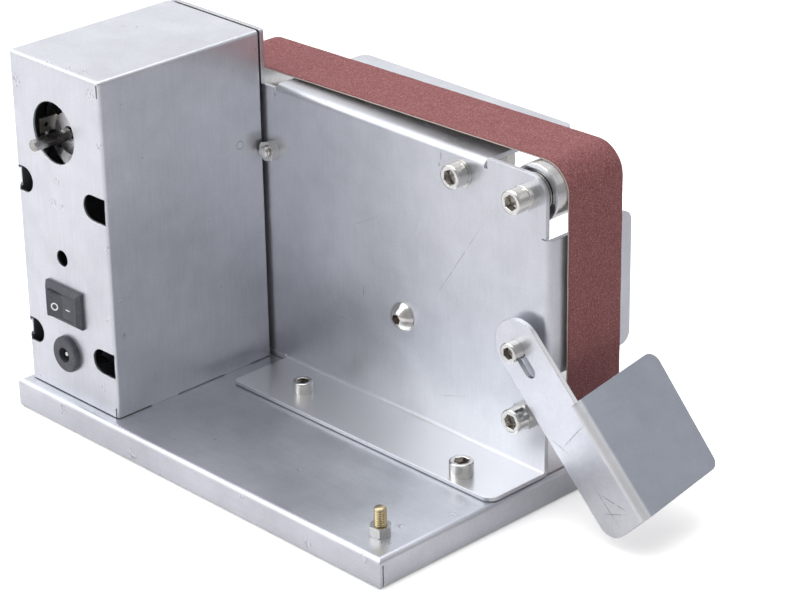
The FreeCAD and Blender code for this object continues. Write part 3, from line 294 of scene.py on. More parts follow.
# =====================================================================
# kinds of material
# =====================================================================
# turn, stretch, half width of the line
SCRATCH_DIRECTIONS = (
    ((0.5, 0.3, 0.75), (0.02, 1.0, 0.9), 0.0040),
    ((0.2, 1.1, -0.55), (0.025, 0.9, 1.0), 0.0035),
    ((-0.4, 0.65, 0.2), (0.05, 1.2, 1.1), 0.0050),
)


def scratch_lines(surface):
    """Thin lines in three directions, only here and there."""
    lines = []
    for index, (turn, stretch, width) in enumerate(SCRATCH_DIRECTIONS):
        aligned = surface.mapping(surface.space, rot=turn, scale=stretch)
        aligned = surface.mapping(aligned, loc=(7.3 * index, 3.1 * index, 1.7 * index))
        wave = surface.noise(scale=0.35, detail=1.0, rough=0.3, space=aligned)
        patches = surface.noise(scale=0.045 + 0.02 * index, detail=2.0)
        lines.append(abs(wave - 0.5).fade(low=0.0, high=width)
                     * patches.ramp(low=0.60, high=0.68))
    return strongest(lines)


def speck_groups(surface):
    """Loose groups of large specks, and weaker small ones."""
    large = (surface.voronoi(scale=0.21).fade(low=0.030, high=0.070)
             * surface.noise(scale=0.06, detail=2.0).ramp(low=0.52, high=0.62))
    space = surface.mapping(surface.space, loc=(13.0, 7.0, 5.0), scale=(1.0, 1.7, 0.8))
    small = (surface.voronoi(scale=0.55, space=space).fade(low=0.05, high=0.10)
             * surface.noise(scale=0.09, detail=2.0).ramp(low=0.56, high=0.64))
    return strongest((large, small * 0.7))


def zinc(name, base, grain, rough, scratch, specks, seed, streak=0.3, wear=0.3, details=None):
    """Zinc plated sheet: clouds, rolling grain, scratches, specks, a painted highlight along the
    edges and small dark chips on them.

    grain is a texture scale, smallest in the direction the grain runs. details adds what
    belongs to one piece, from colour, roughness and normal.
    """
    surface = Surface(name, shift=(seed * 37.0, seed * 11.0, seed * 53.0))
    cloud = surface.noise(scale=0.018, warp=0.5)
    patch = surface.noise(scale=0.09, warp=0.2)
    rolled = surface.noise(scale=0.8, detail=4.0, rough=0.6,
                           space=surface.mapping(surface.space, scale=grain))
    even = surface.noise(scale=1.1, detail=4.0, rough=0.65)
    grit = surface.noise(scale=3.2, rough=0.6)
    # share of each noise in the light and dark of the sheet
    layers = ((cloud, 0.30), (rolled, 0.30 * streak), (patch, 0.15), (even, 0.16), (grit, 0.08))
    total = sum(share for _, share in layers)
    color = surface.paint(darker(base, 0.26), lighter(base, 0.08),
                          mask=layered(layers).ramp(low=0.12 * total, high=0.88 * total))
    lines = scratch_lines(surface)
    color = surface.paint(color, toward(base, (0.16, 0.16, 0.18), 0.6),
                          mask=lines, amount=0.6 * scratch)
    spots = speck_groups(surface)
    color = surface.paint(color, (0.14, 0.14, 0.16), mask=spots, amount=0.85 * specks)
    # roughness: cloudy and fine variation, duller specks
    roughness = rough - 0.06 + cloud.ramp() * 0.08 + even.ramp() * 0.06 + spots * 0.2
    # relief: fine grain, with scratches and specks sunk into it
    height = (even * 0.5 + grit * 0.4 + rolled * (0.25 * streak)
              - lines * (0.5 * scratch) - spots * (0.4 * specks))
    normal = surface.bump(height, depth=0.00003, strength=0.22)
    if details:
        color, roughness, normal = details(surface, color, roughness, normal)
    # edges: a painted highlight along them, stronger in patches, with small dark chips
    rounded = surface.bevel(radius=0.0005, normal=normal, samples=4)
    facing = surface.vector_math("DOT_PRODUCT", {0: rounded, 1: normal}, key="Value")
    edge = facing.fade(low=0.90, high=0.995)
    chips = surface.noise(scale=0.42, detail=4.0, rough=0.65).ramp(low=0.54, high=0.60)
    # this noise sets how strong the painted edge highlight is from place to place
    painted_highlight = surface.noise(scale=0.25, rough=0.6)
    color = surface.paint(color, lighter(base, 0.5), mask=edge,
                          amount=painted_highlight.ramp(low=0.35, high=0.65, start=0.08, end=0.34))
    color = surface.paint(color, (0.10, 0.10, 0.11), mask=edge * chips, amount=wear)
    return surface.finish(color=color, roughness=roughness, metallic=0.9, normal=rounded)


def plated(name, base, rough, seed, recess=None, tint=None, wear=0.5, radius=0.00018):
    """Plated small parts: faint mottling, with optional tinted patches and dark recesses."""
    surface = Surface(name, shift=(seed * 17.0, seed * 5.0, seed * 29.0))
    coarse = surface.noise(scale=0.5, detail=4.0, rough=0.6, warp=0.4)
    fine = surface.noise(scale=3.5, detail=4.0, rough=0.65)
    color = surface.paint(darker(base, 0.22 * wear + 0.06), lighter(base, 0.12),
                          mask=layered(((coarse, 0.6), (fine, 0.4))))
    if tint is not None:
        patches = surface.noise(scale=0.35, warp=1.2)
        color = surface.paint(color, tint, mask=patches.ramp(low=0.48, high=0.66))
    if recess is not None:
        occlusion = surface.node("AmbientOcclusion", {"Distance": 0.0042},
                                 samples=6, only_local=True)
        openness = surface.output(occlusion, "AO")
        color = surface.paint(color, recess, mask=openness.fade(low=0.12, high=0.72))
    roughness = rough - 0.05 + fine.ramp() * 0.12
    normal = surface.bump(coarse + fine * 0.5, depth=0.00002, strength=0.22)
    normal = surface.bevel(radius=radius, normal=normal, samples=3)
    return surface.finish(color=color, roughness=roughness, metallic=1.0, normal=normal)


def turned(name, base, rough, seed, pitch):
    """Turned or ground metal: faint rings round an axis along y."""
    surface = Surface(name, shift=(seed, seed * 3.0, seed * 7.0))
    rings = surface.noise(scale=pitch, detail=5.0, rough=0.7,
                          space=surface.mapping(surface.space, scale=(0.06, 1.0, 0.06)))
    cloud = surface.noise(scale=0.25)
    color = surface.paint(darker(base, 0.16), lighter(base, 0.12), mask=rings.ramp())
    color = surface.paint(color, toward(base, (0.3, 0.27, 0.22), 0.5),
                          mask=cloud.ramp(low=0.5, high=0.75), amount=0.25)
    normal = surface.bump(rings, depth=0.00001, strength=0.35)
    normal = surface.bevel(radius=0.0002, normal=normal, samples=3)
    return surface.finish(color=color, roughness=rough + cloud.ramp() * 0.10,
                          metallic=1.0, normal=normal)


def plastic(name, base, rough, seed, grain=9.0, grain_depth=0.00003, dust=0.15):
    """Moulded plastic: pebble grain, faint dust and rubbed patches."""
    surface = Surface(name, shift=(seed * 9.0, seed, seed * 4.0))
    pebbles = surface.voronoi(scale=grain, feature="SMOOTH_F1")
    cloud = surface.noise(scale=0.22, detail=4.0, rough=0.6)
    dusty = surface.noise(scale=1.4, detail=4.0, rough=0.7)
    color = surface.paint(base, lighter(base, 0.05), mask=cloud.ramp(low=0.3, high=0.75))
    color = surface.paint(color, (0.32, 0.32, 0.34), mask=dusty.ramp(low=0.52, high=0.72),
                          amount=dust)
    normal = surface.bump(pebbles, depth=grain_depth, strength=0.5)
    normal = surface.bevel(radius=0.0003, normal=normal, samples=4)
    return surface.finish(color=color, roughness=rough - 0.06 + cloud.ramp() * 0.16,
                          metallic=0.0, normal=normal, specular=0.45)


def matte(name, base, rough, seed):
    """Rubber, ferrite or carbon: dull, with pale dust."""
    surface = Surface(name, shift=(seed, seed, seed))
    coarse = surface.noise(scale=0.6, detail=5.0, rough=0.6)
    fine = surface.noise(scale=7.0, rough=0.6)
    color = surface.paint(base, toward(base, (0.3, 0.3, 0.3), 0.2),
                          mask=coarse.ramp(low=0.35, high=0.7))
    color = surface.paint(color, (0.22, 0.21, 0.20), mask=fine.ramp(low=0.6, high=0.75),
                          amount=0.3)
    roughness = coarse.ramp(low=0.2, high=0.8, start=rough - 0.1, end=rough + 0.12)
    return surface.finish(color=color, roughness=roughness, metallic=0.0,
                          normal=surface.bump(coarse + fine, depth=0.00005, strength=0.5))


# =====================================================================
# marks that belong to one sheet piece
# =====================================================================
def scratch_between(start, end, half_width):
    """A scribed line's table row from its two ends."""
    dx, dz = end[0] - start[0], end[1] - start[1]
    return (start[0] * 0.5 + end[0] * 0.5, start[1] * 0.5 + end[1] * 0.5,
            math.atan2(dz, dx), 0.5 * math.hypot(dx, dz), half_width)


# scribed lines: x, z, turn in radians, half length, half width
PLATE_LINES = (
    scratch_between((159.0, 70.0), (186.9, 111.1), 0.22),
    (120.0, 92.0, 0.5, 9.0, 0.14), (98.0, 52.0, -0.9, 7.0, 0.14),
    (150.0, 100.0, 1.2, 5.0, 0.12), (168.0, 30.0, 0.3, 8.0, 0.14),
)
REST_LINES = (
    (261.0, 19.0, -0.15, 7.0, 0.20), (257.5, 16.0, -0.75, 9.0, 0.16),
    (262.0, 14.5, 0.35, 6.0, 0.14), (240.0, 40.0, 0.9, 8.0, 0.12),
    (233.0, 33.0, -0.35, 5.0, 0.12),
)
# smudges on the plate: x, z, half width, half height, turn in radians
PLATE_SMUDGES = (
    (163.6, 132.2, 0.45, 2.4, 0.10), (162.6, 128.4, 0.7, 1.0, 0.3),
    (118.0, 60.0, 0.3, 3.0, 0.7),
)
# scuffs: x, y, z, radius
BOX_SCUFFS = (
    (6.8, 5.3, 146.0, 3.6), (55.4, 5.3, 152.0, 3.4), (29.7, 5.3, 108.0, 2.4),
    (26.0, 5.3, 98.1, 3.0), (31.8, 5.3, 97.6, 2.2), (57.5, 5.3, 56.5, 2.6),
    (60.3, 10.7, 47.8, 2.0), (46.2, 9.0, 158.6, 3.4), (38.0, 7.6, 158.6, 3.2),
    (27.5, 6.7, 158.6, 2.6), (16.5, 54.8, 158.6, 2.4), (21.1, 57.4, 158.6, 1.6),
    (60.3, 9.3, 64.6, 1.8), (52.0, 5.3, 24.0, 2.4), (58.6, 5.3, 132.0, 2.6),
    (58.8, 5.3, 88.0, 2.4),
)
BASE_SCUFFS = (
    (48.8, 3.7, 12.0, 2.4), (66.0, 2.0, 12.0, 2.6), (212.0, 11.0, 12.0, 3.4),
    (206.0, 24.0, 12.0, 3.0), (145.8, 27.7, 12.0, 2.0), (102.3, 21.0, 12.0, 2.0),
    (214.0, 44.0, 12.0, 3.2), (30.0, 0.0, 8.0, 3.0), (75.0, 0.0, 3.0, 3.6),
    (142.0, 0.0, 9.0, 2.6), (180.0, 0.0, 4.0, 3.0), (212.0, 0.0, 10.0, 2.6),
)


def scribe(surface, color, lines, y, amount, tone):
    """Broken thin lines on a face across y; gives the colour and the line mask."""
    shapes = []
    for x, z, turn, half_length, half_width in lines:
        local = surface.mapping(surface.offset(x, y, z), rot=(0, turn, 0))
        local = surface.mapping(local, scale=(1.0 / half_length, 0.08, 1.0 / half_width))
        shapes.append(surface.length(local).fade(low=0.5, high=1.2))
    breaks = surface.noise(scale=0.5, rough=0.6).ramp(low=0.34, high=0.46)
    mask = strongest(shapes) * breaks
    return surface.paint(color, tone, mask=mask, amount=amount), mask


def scuff(surface, color, roughness, spots):
    """Small groups of rub marks and chips."""
    area = strongest([surface.length(surface.offset(x, y, z)).fade(low=radius * 0.45, high=radius)
                      for x, y, z, radius in spots])
    space = surface.mapping(surface.space, rot=(0.4, 0.3, 0.2), scale=(1.0, 1.0, 0.55))
    flecks = surface.noise(scale=1.15, detail=4.0, rough=0.7, space=space)
    dark = area * flecks.ramp(low=0.53, high=0.60)
    light = area * flecks.fade(low=0.40, high=0.46)
    color = surface.paint(color, (0.16, 0.16, 0.18), mask=dark, amount=0.6)
    color = surface.paint(color, (0.92, 0.93, 0.96), mask=light, amount=0.5)
    return color, roughness + dark * 0.15


def base_details(surface, color, roughness, normal):
    color, roughness = scuff(surface, color, roughness, BASE_SCUFFS)
    return color, roughness, normal


def plate_details(surface, color, roughness, normal):
    """Smudges, scribed lines, and bands of painted shadow and painted highlight along the plate's
    foot.
    """
    for x, z, half_width, half_height, turn in PLATE_SMUDGES:
        local = surface.mapping(surface.offset(x, PLATE_FRONT, z), rot=(0, turn, 0),
                                scale=(1.0 / half_width, 0.05, 1.0 / half_height))
        ragged = surface.length(local) + surface.noise(scale=2.0) * 0.8
        color = surface.paint(color, (0.25, 0.25, 0.27), mask=ragged.fade(low=0.9, high=1.5),
                              amount=0.5)
    color, lines = scribe(surface, color, PLATE_LINES, y=PLATE_FRONT, amount=0.55,
                          tone=(0.30, 0.31, 0.34))
    normal = surface.bump(1.0 - lines, depth=0.00006, strength=0.5, normal=normal)
    z = surface.split(surface.mm)[2]
    foot = (ORIGIN.z + PAN_TOP / 1000.0) * 1000.0
    # painted shadow where the foot meets the pan, a painted highlight along the bend, and a
    # painted highlight along the top edge of the foot
    foot_contact_shadow = z.fade(low=foot + 0.25, high=foot + 0.6)
    color = surface.paint(color, (0.03, 0.03, 0.035), mask=foot_contact_shadow, amount=0.85)
    # painted highlight: a pale line along the bend
    bend = abs(z - (foot + 3.0)).fade(low=0.15, high=0.5)
    color = surface.paint(color, (0.85, 0.87, 0.92), mask=bend, amount=0.30)
    # painted highlight: a near white band along the top edge of the foot
    painted_highlight = (z.ramp(low=foot + 1.7, high=foot + 1.9)
              * z.fade(low=foot + 2.1, high=foot + 2.8))
    color = surface.paint(color, (0.97, 0.975, 0.985), mask=painted_highlight, amount=0.8)
    return color, roughness, normal


def box_details(surface, color, roughness, normal):
    """Spot weld on the right side, scuffs, and inside faces painted near black as shade and made
    rougher.
    """
    distance = surface.length(surface.offset(BOX_RIGHT, 76.4, 112.1))
    ring = abs(distance - 1.7).fade(low=0.0, high=0.5)
    core = distance.fade(low=1.2, high=1.9, smooth=True)
    color = surface.paint(color, (0.2, 0.2, 0.22), mask=ring, amount=0.5)
    color = surface.paint(color, (0.85, 0.86, 0.9), mask=core, amount=0.35)
    normal = surface.bump(1.0 - core, depth=0.0003, strength=0.5, normal=normal)
    color, roughness = scuff(surface, color, roughness, BOX_SCUFFS)
    # inside begins between these two depths below the outer faces
    near, deep = 0.8, 0.95
    x, y, z = surface.split(surface.mm)
    left = point(BOX_LEFT, BOX_FRONT, BOX_TOP) * 1000.0
    right = point(BOX_RIGHT, BOX_FRONT, BOX_TOP) * 1000.0
    inside = (x.ramp(low=left.x + near, high=left.x + deep)
              * x.fade(low=right.x - deep, high=right.x - near)
              * y.ramp(low=left.y + near, high=left.y + deep)
              * z.fade(low=left.z - deep, high=left.z - near))
    # painted shade: the inside faces are painted near black
    color = surface.paint(color, (0.05, 0.05, 0.055), mask=inside, amount=0.72)
    return color, roughness + inside * 0.25, normal


def rest_details(surface, color, roughness, normal):
    """Scribed lines on the arm, painted shade darkening the table behind it and a painted
    highlight on the bend between.
    """
    color, lines = scribe(surface, color, REST_LINES, y=REST_FRONT, amount=0.8,
                          tone=(0.10, 0.10, 0.11))
    normal = surface.bump(1.0 - lines, depth=0.00012, strength=0.5, normal=normal)
    y = surface.split(surface.mm)[1]
    face = (point(0.0, REST_FRONT, 0.0) * 1000.0).y
    # painted shade: the table is multiplied darker than the arm
    table = y.ramp(low=face + 2.6, high=face + 4.6, smooth=True)
    color = surface.paint(color, (0.53, 0.56, 0.61), mask=table, blend="MULTIPLY")
    # painted highlight: a pale band along the bend
    bend = y.ramp(low=face + 0.1, high=face + 0.7) * y.fade(low=face + 1.6, high=face + 2.8)
    color = surface.paint(color, (0.98, 0.985, 1.0), mask=bend, amount=0.7)
    return color, roughness, normal


# =====================================================================
# belt materials
# =====================================================================
def grit_material():
    """Abrasive grains in two reddish browns, with a few tan ones."""
    base, dark, tan = linear("A76C6D"), linear("6C3F41"), linear("C9A79C")
    surface = Surface("belt_grit")
    cells = surface.node("SeparateColor", {0: surface.voronoi(scale=3.4, key="Color")})
    tone, pick = surface.output(cells, 0), surface.output(cells, 1)
    distance = surface.voronoi(scale=3.4)
    fine = surface.noise(scale=1.4, detail=5.0, rough=0.8)
    patches = surface.noise(scale=0.30)
    bands = surface.noise(scale=0.05, space=surface.mapping(surface.mm, scale=(1, 0.3, 1)))
    color = surface.paint(toward(dark, base, 0.35), base, mask=tone.ramp(low=0.0, high=1.0))
    color = surface.paint(dark, color, mask=fine.ramp(low=0.39, high=0.61))
    color = surface.paint(color, tan, mask=pick.ramp(low=0.90, high=0.95), amount=0.34)
    color = surface.paint(color, lighter(base, 0.06), mask=patches.ramp(low=0.40, high=0.75),
                          amount=0.14)
    color = surface.paint(color, toward(base, dark, 0.6), mask=bands.ramp(low=0.35, high=0.7),
                          amount=0.16)
    # relief: grains stand up at their middles, with fine noise over them
    height = (1.0 - distance) * 0.6 + fine * 0.9
    return surface.finish(
        color=color, roughness=pick.ramp(low=0.85, high=1.0, start=0.85, end=0.5), metallic=0.0,
        normal=surface.bump(height, depth=0.00014, strength=0.6), specular=0.22)


def cloth_material():
    """Woven backing, laid out by the strip's own length and width."""
    thread_pitch = 0.62
    turn = 2 * math.pi / thread_pitch
    surface = Surface("belt_cloth")
    along, across, _ = surface.split(surface.scaled(surface.uv, factor=1000.0))
    warp = abs((along * turn).sine())
    weft = abs((across * turn).sine())
    checker = (along * (turn / 2)).sine() * (across * (turn / 2)).sine()
    over = checker.ramp(low=-0.2, high=0.2)
    height = warp * over + weft * (1.0 - over)
    fuzz = surface.noise(scale=1.6, detail=4.0, rough=0.7)
    stain = surface.noise(scale=0.08)
    color = surface.paint(linear("B7A79C"), linear("E2D9D0"),
                          mask=height.ramp(low=0.1, high=0.9))
    color = surface.paint(color, linear("CDB9AE"), mask=fuzz.ramp(low=0.45, high=0.75),
                          amount=0.35)
    color = surface.paint(color, linear("BFA79E"), mask=stain.ramp(low=0.45, high=0.7),
                          amount=0.30)
    normal = surface.bump(height + fuzz * 0.5, depth=0.00012, strength=0.6)
    return surface.finish(color=color, roughness=0.88, metallic=0.0, normal=normal, sheen=0.25)


SHEET = linear("DFE2E9")

LOOKS = {
    "base": zinc("zinc_base", SHEET, grain=(0.08, 1.0, 1.0), rough=0.34, scratch=0.8,
                 specks=0.55, seed=1.0, wear=0.6, details=base_details),
    "plate": zinc("zinc_plate", SHEET, grain=(1.0, 1.0, 0.10), rough=0.32, scratch=0.35,
                  specks=0.35, seed=2.0, streak=0.25, details=plate_details),
    "box": zinc("zinc_box", SHEET, grain=(1.0, 1.0, 0.08), rough=0.34, scratch=0.55,
                specks=0.9, seed=3.0, streak=0.35, wear=0.75, details=box_details),
    # the rest's sheet is painted lighter than SHEET as a painted highlight; its table is painted
    # darker again in rest_details as painted shade
    "rest": zinc("zinc_rest", linear("EEF0F6"), grain=(0.4, 0.1, 0.4), rough=0.32, scratch=0.9,
                 specks=0.6, seed=4.0, wear=0.5, details=rest_details),
    "arm": zinc("zinc_arm", SHEET, grain=(0.4, 1.0, 0.4), rough=0.38, scratch=0.6, specks=0.4,
                seed=5.0),
    "nickel": plated("nickel_screws", (0.76, 0.75, 0.72), rough=0.14, seed=1.0,
                     recess=(0.15, 0.105, 0.07)),
    "nut": plated("nickel_nuts", (0.70, 0.69, 0.66), rough=0.18, seed=2.0, wear=0.9),
    "yellow": plated("yellow_zinc", (0.60, 0.50, 0.30), rough=0.22, seed=3.0,
                     tint=(0.56, 0.44, 0.20), wear=0.7),
    "bearing": turned("bearing_steel", (0.72, 0.72, 0.73), rough=0.14, seed=1.0, pitch=2.2),
    "shield": turned("bearing_rings", (0.62, 0.62, 0.64), rough=0.20, seed=2.0, pitch=5.0),
    "shaft": turned("ground_shaft", (0.42, 0.41, 0.40), rough=0.20, seed=3.0, pitch=3.0),
    "can": turned("motor_can_steel", (0.52, 0.53, 0.55), rough=0.34, seed=4.0, pitch=1.2),
    "core": turned("rotor_laminations", (0.30, 0.30, 0.31), rough=0.42, seed=5.0, pitch=14.0),
    "aluminium": turned("turned_aluminium", (0.74, 0.75, 0.76), rough=0.28, seed=6.0, pitch=6.0),
    "spring": plated("spring_wire", (0.52, 0.52, 0.53), rough=0.28, seed=4.0, wear=0.8,
                     radius=0.00005),
    "black_steel": plated("blackened_steel", (0.09, 0.09, 0.10), rough=0.38, seed=5.0),
    "tin": plated("tinned_brass", (0.72, 0.71, 0.67), rough=0.32, seed=6.0,
                  tint=(0.66, 0.58, 0.38)),
    "copper": plated("enamelled_copper", (0.60, 0.27, 0.12), rough=0.30, seed=7.0, wear=0.6),
    "commutator": turned("commutator_copper", (0.62, 0.34, 0.20), rough=0.30, seed=7.0,
                         pitch=8.0),
    "magnet": matte("ferrite", (0.055, 0.055, 0.06), rough=0.62, seed=2.0),
    "carbon": matte("carbon_brush", (0.03, 0.03, 0.03), rough=0.5, seed=3.0),
    "switch": plastic("switch_housing", linear("3E4049"), rough=0.50, seed=1.0),
    "rocker": plastic("switch_rocker", linear("3A3C45"), rough=0.46, seed=2.0, dust=0.10),
    "jack": plastic("jack_plastic", linear("3C3E47"), rough=0.48, seed=3.0),
    "end_cap": turned("motor_end_steel", (0.64, 0.64, 0.65), rough=0.24, seed=8.0, pitch=2.0),
    "black_nut": plastic("black_nut", (0.018, 0.018, 0.018), rough=0.45, seed=4.0, grain=5.0,
                         dust=0.05),
    "foot": matte("foot_rubber", (0.018, 0.018, 0.019), rough=0.75, seed=0.0),
    "red": plastic("pvc_red", (0.42, 0.02, 0.02), rough=0.38, seed=5.0, grain=3.0, dust=0.12),
    "black": plastic("pvc_black", (0.015, 0.015, 0.016), rough=0.38, seed=6.0, grain=3.0,
                     dust=0.12),
    "mark": plastic("printed_mark", (0.86, 0.86, 0.87), rough=0.5, seed=7.0, grain=6.0,
                    grain_depth=0.00001, dust=0.10),
    "solder": plated("solder", (0.62, 0.62, 0.63), rough=0.30, seed=8.0),
    "grit": grit_material(),
    "cloth": cloth_material(),
}

# the CAD pieces that wear each look
LOOK_PIECES = {
    "base": "base_pan", "plate": "frame_plate", "box": "motor_box", "rest": "work_rest",
    "arm": "tension_arm", "foot": "feet_rubber", "yellow": "feet_studs",
    "nut": "feet_nuts m5_nuts m6_nuts box_nuts roller_low_front_nut washers rest_spacer_nut"
           " rest_lock_nut",
    "nickel": "flange_screw_left flange_screw_right box_screws motor_screws"
              " roller_top_axle_bolt roller_top_front_spacer roller_low_axle_bolt"
              " platen_support_bolt tension_pivot_screw spring_pin spring_post rest_clamp_bolt"
              " jack_pin",
    "can": "motor_can", "end_cap": "motor_end_cap", "tin": "motor_terminals solder_tabs",
    "magnet": "motor_magnets", "carbon": "motor_brushes", "core": "motor_rotor_core",
    "copper": "motor_windings", "commutator": "motor_commutator",
    "shaft": "motor_shaft idler_axle", "aluminium": "drive_wheel spacer_tubes",
    "black_steel": "drive_grub_screw idler_clip", "grit": "abrasive_belt",
    "bearing": "roller_top_sleeve roller_inner_rings roller_low_sleeve idler_sleeve"
               " idler_inner_rings",
    "shield": "motor_bearings roller_top_bearing_rings roller_low_bearing_rings"
              " idler_bearing_rings",
    "spring": "tension_spring", "switch": "switch_housing", "rocker": "switch_rocker",
    "jack": "jack_body", "black_nut": "jack_nut", "red": "wires_red", "black": "wire_black",
}
PIECE_LOOK = {piece: look for look, pieces in LOOK_PIECES.items() for piece in pieces.split()}

for piece_name, piece in frame["nodes"].items():
    piece.data.materials.clear()
    piece.data.materials.append(LOOKS[PIECE_LOOK[piece_name]])


# =====================================================================
# mesh building: a shape is a (vertices, faces) pair
# =====================================================================
def shade(mesh, angle):
    """Smooth faces, with edges sharp above an angle in degrees."""
    work = bmesh.new()
    work.from_mesh(mesh)
    bmesh.ops.recalc_face_normals(work, faces=work.faces)
    limit = math.radians(angle)
    for face in work.faces:
        face.smooth = True
    for edge in work.edges:
        if len(edge.link_faces) == 2:
            edge.smooth = edge.calc_face_angle(0.0) < limit
    work.to_mesh(mesh)
    work.free()
    mesh.update()


def add_piece(name, shape, look, angle, body=FRAME, replaces=None, uvs=None):
    """uvs holds one pair for each face corner."""
    verts, faces = shape
    mesh = bpy.data.meshes.new(name)
    mesh.from_pydata([tuple(vert) for vert in verts], [], faces)
    mesh.update()
    if uvs is not None:
        layer = mesh.uv_layers.new(name="UVMap")
        layer.data.foreach_set("uv", [value for pair in uvs for value in pair])
    shade(mesh, angle)
    piece = bpy.data.objects.new(name, mesh)
    bpy.context.scene.collection.objects.link(piece)
    mesh.materials.append(LOOKS[look])
    if body:
        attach(piece, body)
    if replaces:
        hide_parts(replaces)
    return piece


def join(shapes):
    verts, faces = [], []
    for part_verts, part_faces in shapes:
        first = len(verts)
        verts.extend(part_verts)
        faces.extend([tuple(index + first for index in face) for face in part_faces])
    return verts, faces


def across_axis(axis):
    """The unit axis and two unit vectors across it."""
    along = Vector(axis).normalized()
    reference = Vector((0, 0, 1)) if abs(along.z) < 0.9 else Vector((1, 0, 0))
    side = along.cross(reference).normalized()
    return along, side, along.cross(side).normalized()


def lathe(origin, axis, rings, sides):
    """Rings (distance along the axis, radius or function of angle), closed at both ends."""
    along, side, other = across_axis(axis)
    angles = [2 * math.pi * j / sides for j in range(sides)]
    verts, faces = [], []
    for distance, radius in rings:
        for angle in angles:
            size = radius(angle) if callable(radius) else radius
            verts.append(origin + along * (distance / 1000.0)
                         + side * (math.cos(angle) * size / 1000.0)
                         + other * (math.sin(angle) * size / 1000.0))
    for i in range(len(rings) - 1):
        low, high = i * sides, (i + 1) * sides
        for j in range(sides):
            k = (j + 1) % sides
            faces.append((low + j, low + k, high + k, high + j))
    for ring in (0, len(rings) - 1):
        centre = len(verts)
        verts.append(origin + along * (rings[ring][0] / 1000.0))
        first = ring * sides
        for j in range(sides):
            k = (j + 1) % sides
            faces.append((centre, first + k, first + j) if ring == 0
                         else (centre, first + j, first + k))
    return verts, faces


def hexagon(across, turn=0.0):
    """Radius of a hexagon outline as a function of angle."""
    def radius(angle):
        return across / 2.0 / math.cos((angle - turn) % (math.pi / 3.0) - math.pi / 6.0)
    return radius


def thread_rings(start, end, radius, pitch, depth, step=6, lead=1.2):
    """Rings of a screw thread, step to each pitch, fading over the lead at its ends."""
    rings = []
    count = max(2, int(round((end - start) / pitch * step)))
    for i in range(count + 1):
        distance = start + (end - start) * i / count
        fade = min(1.0, (distance - start) / lead + 0.02, (end - distance) / (0.6 * lead) + 0.35)

        def profile(angle, distance=distance, fade=fade):
            phase = (distance / pitch - angle / (2 * math.pi)) % 1.0
            # 1 at the crest, 0 at the root, with a flat at each
            rise = min(1.0, max(0.0, (abs(phase - 0.5) * 2.0 - 0.10) / 0.78))
            return radius - depth * fade * (1.0 - rise)
        rings.append((distance, profile))
    return rings


def wire(points, radius, sides, closed=False):
    """Round wire along points, radius in mm; an open one has flat ends."""
    radius = radius / 1000.0
    count = len(points)
    verts, faces = [], []
    previous = (points[1] - points[0]).normalized()
    side = across_axis(previous)[1]
    for i, centre in enumerate(points):
        if closed:
            tangent = (points[(i + 1) % count] - points[i - 1]).normalized()
        else:
            tangent = (points[min(i + 1, count - 1)] - points[max(i - 1, 0)]).normalized()
        side = previous.rotation_difference(tangent) @ side
        side = (side - tangent * side.dot(tangent)).normalized()
        other = tangent.cross(side)
        previous = tangent
        for j in range(sides):
            angle = 2 * math.pi * j / sides
            verts.append(centre + side * (math.cos(angle) * radius)
                         + other * (math.sin(angle) * radius))
    for i in range(count if closed else count - 1):
        here, there = i * sides, ((i + 1) % count) * sides
        for j in range(sides):
            k = (j + 1) % sides
            faces.append((here + j, here + k, there + k, there + j))
    if not closed:
        faces.append(tuple(range(sides - 1, -1, -1)))
        faces.append(tuple(range((count - 1) * sides, count * sides)))
    return verts, faces


def smooth_line(points, steps):
    """Catmull-Rom curve through the points."""
    points = [points[0] * 2 - points[1]] + points + [points[-1] * 2 - points[-2]]
    line = []
    for a, b, c, d in zip(points, points[1:], points[2:], points[3:]):
        for k in range(steps):
            t = k / steps
            line.append(0.5 * ((2 * b) + (-a + c) * t + (2 * a - 5 * b + 4 * c - d) * t * t
                               + (-a + 3 * b - 3 * c + d) * t ** 3))
    line.append(points[-2])
    return line


# =====================================================================
# belt: a cloth strip with a grit layer bonded on its outside
# =====================================================================
# x, z, radius, clockwise from the drive wheel as seen from the front
WHEELS = (
    (MOTOR_X, MOTOR_Z, DRIVE_RADIUS),
    (TOP_ROLLER_X, TOP_ROLLER_Z, ROLLER_RADIUS),
    (LOW_ROLLER_X, LOW_ROLLER_Z, ROLLER_RADIUS),
    (IDLER_X, IDLER_Z, IDLER_RADIUS),
)
BELT_FRONT, BELT_WIDTH, BELT_THICKNESS = 98.6, 30.0, 0.9
CLOTH_THICKNESS = 0.42
BELT_GAP = 0.05
BELT_STEP = 0.9
BELT_CELLS = 34


def belt_path():
    """Closed run of stations (x, z, outward x, outward z) round the wheels."""
    circles = [(x, z, radius + BELT_GAP) for x, z, radius in WHEELS]
    straights = []
    for (x1, z1, r1), (x2, z2, r2) in zip(circles, circles[1:] + circles[:1]):
        dx, dz = x2 - x1, z2 - z1
        distance = math.hypot(dx, dz)
        ux, uz = dx / distance, dz / distance
        sine = (r1 - r2) / distance
        cosine = math.sqrt(1 - sine * sine)
        nx, nz = -uz * cosine + ux * sine, ux * cosine + uz * sine
        straights.append(((x1 + nx * r1, z1 + nz * r1), (x2 + nx * r2, z2 + nz * r2), (nx, nz)))
    path = []
    for i, (start, end, normal) in enumerate(straights):
        dx, dz = end[0] - start[0], end[1] - start[1]
        count = max(2, int(round(math.hypot(dx, dz) / BELT_STEP)))
        for j in range(count):
            share = j / count
            path.append((start[0] + dx * share, start[1] + dz * share, *normal))
        following = (i + 1) % len(circles)
        x, z, radius = circles[following]
        next_normal = straights[following][2]
        first = math.atan2(normal[1], normal[0])
        last = math.atan2(next_normal[1], next_normal[0])
        while last > first:
            last -= 2 * math.pi
        count = max(4, int(round((first - last) * radius / (BELT_STEP * 0.8))))
        for j in range(count):
            angle = first + (last - first) * j / count
            nx, nz = math.cos(angle), math.sin(angle)
            path.append((x + radius * nx, z + radius * nz, nx, nz))
    return path


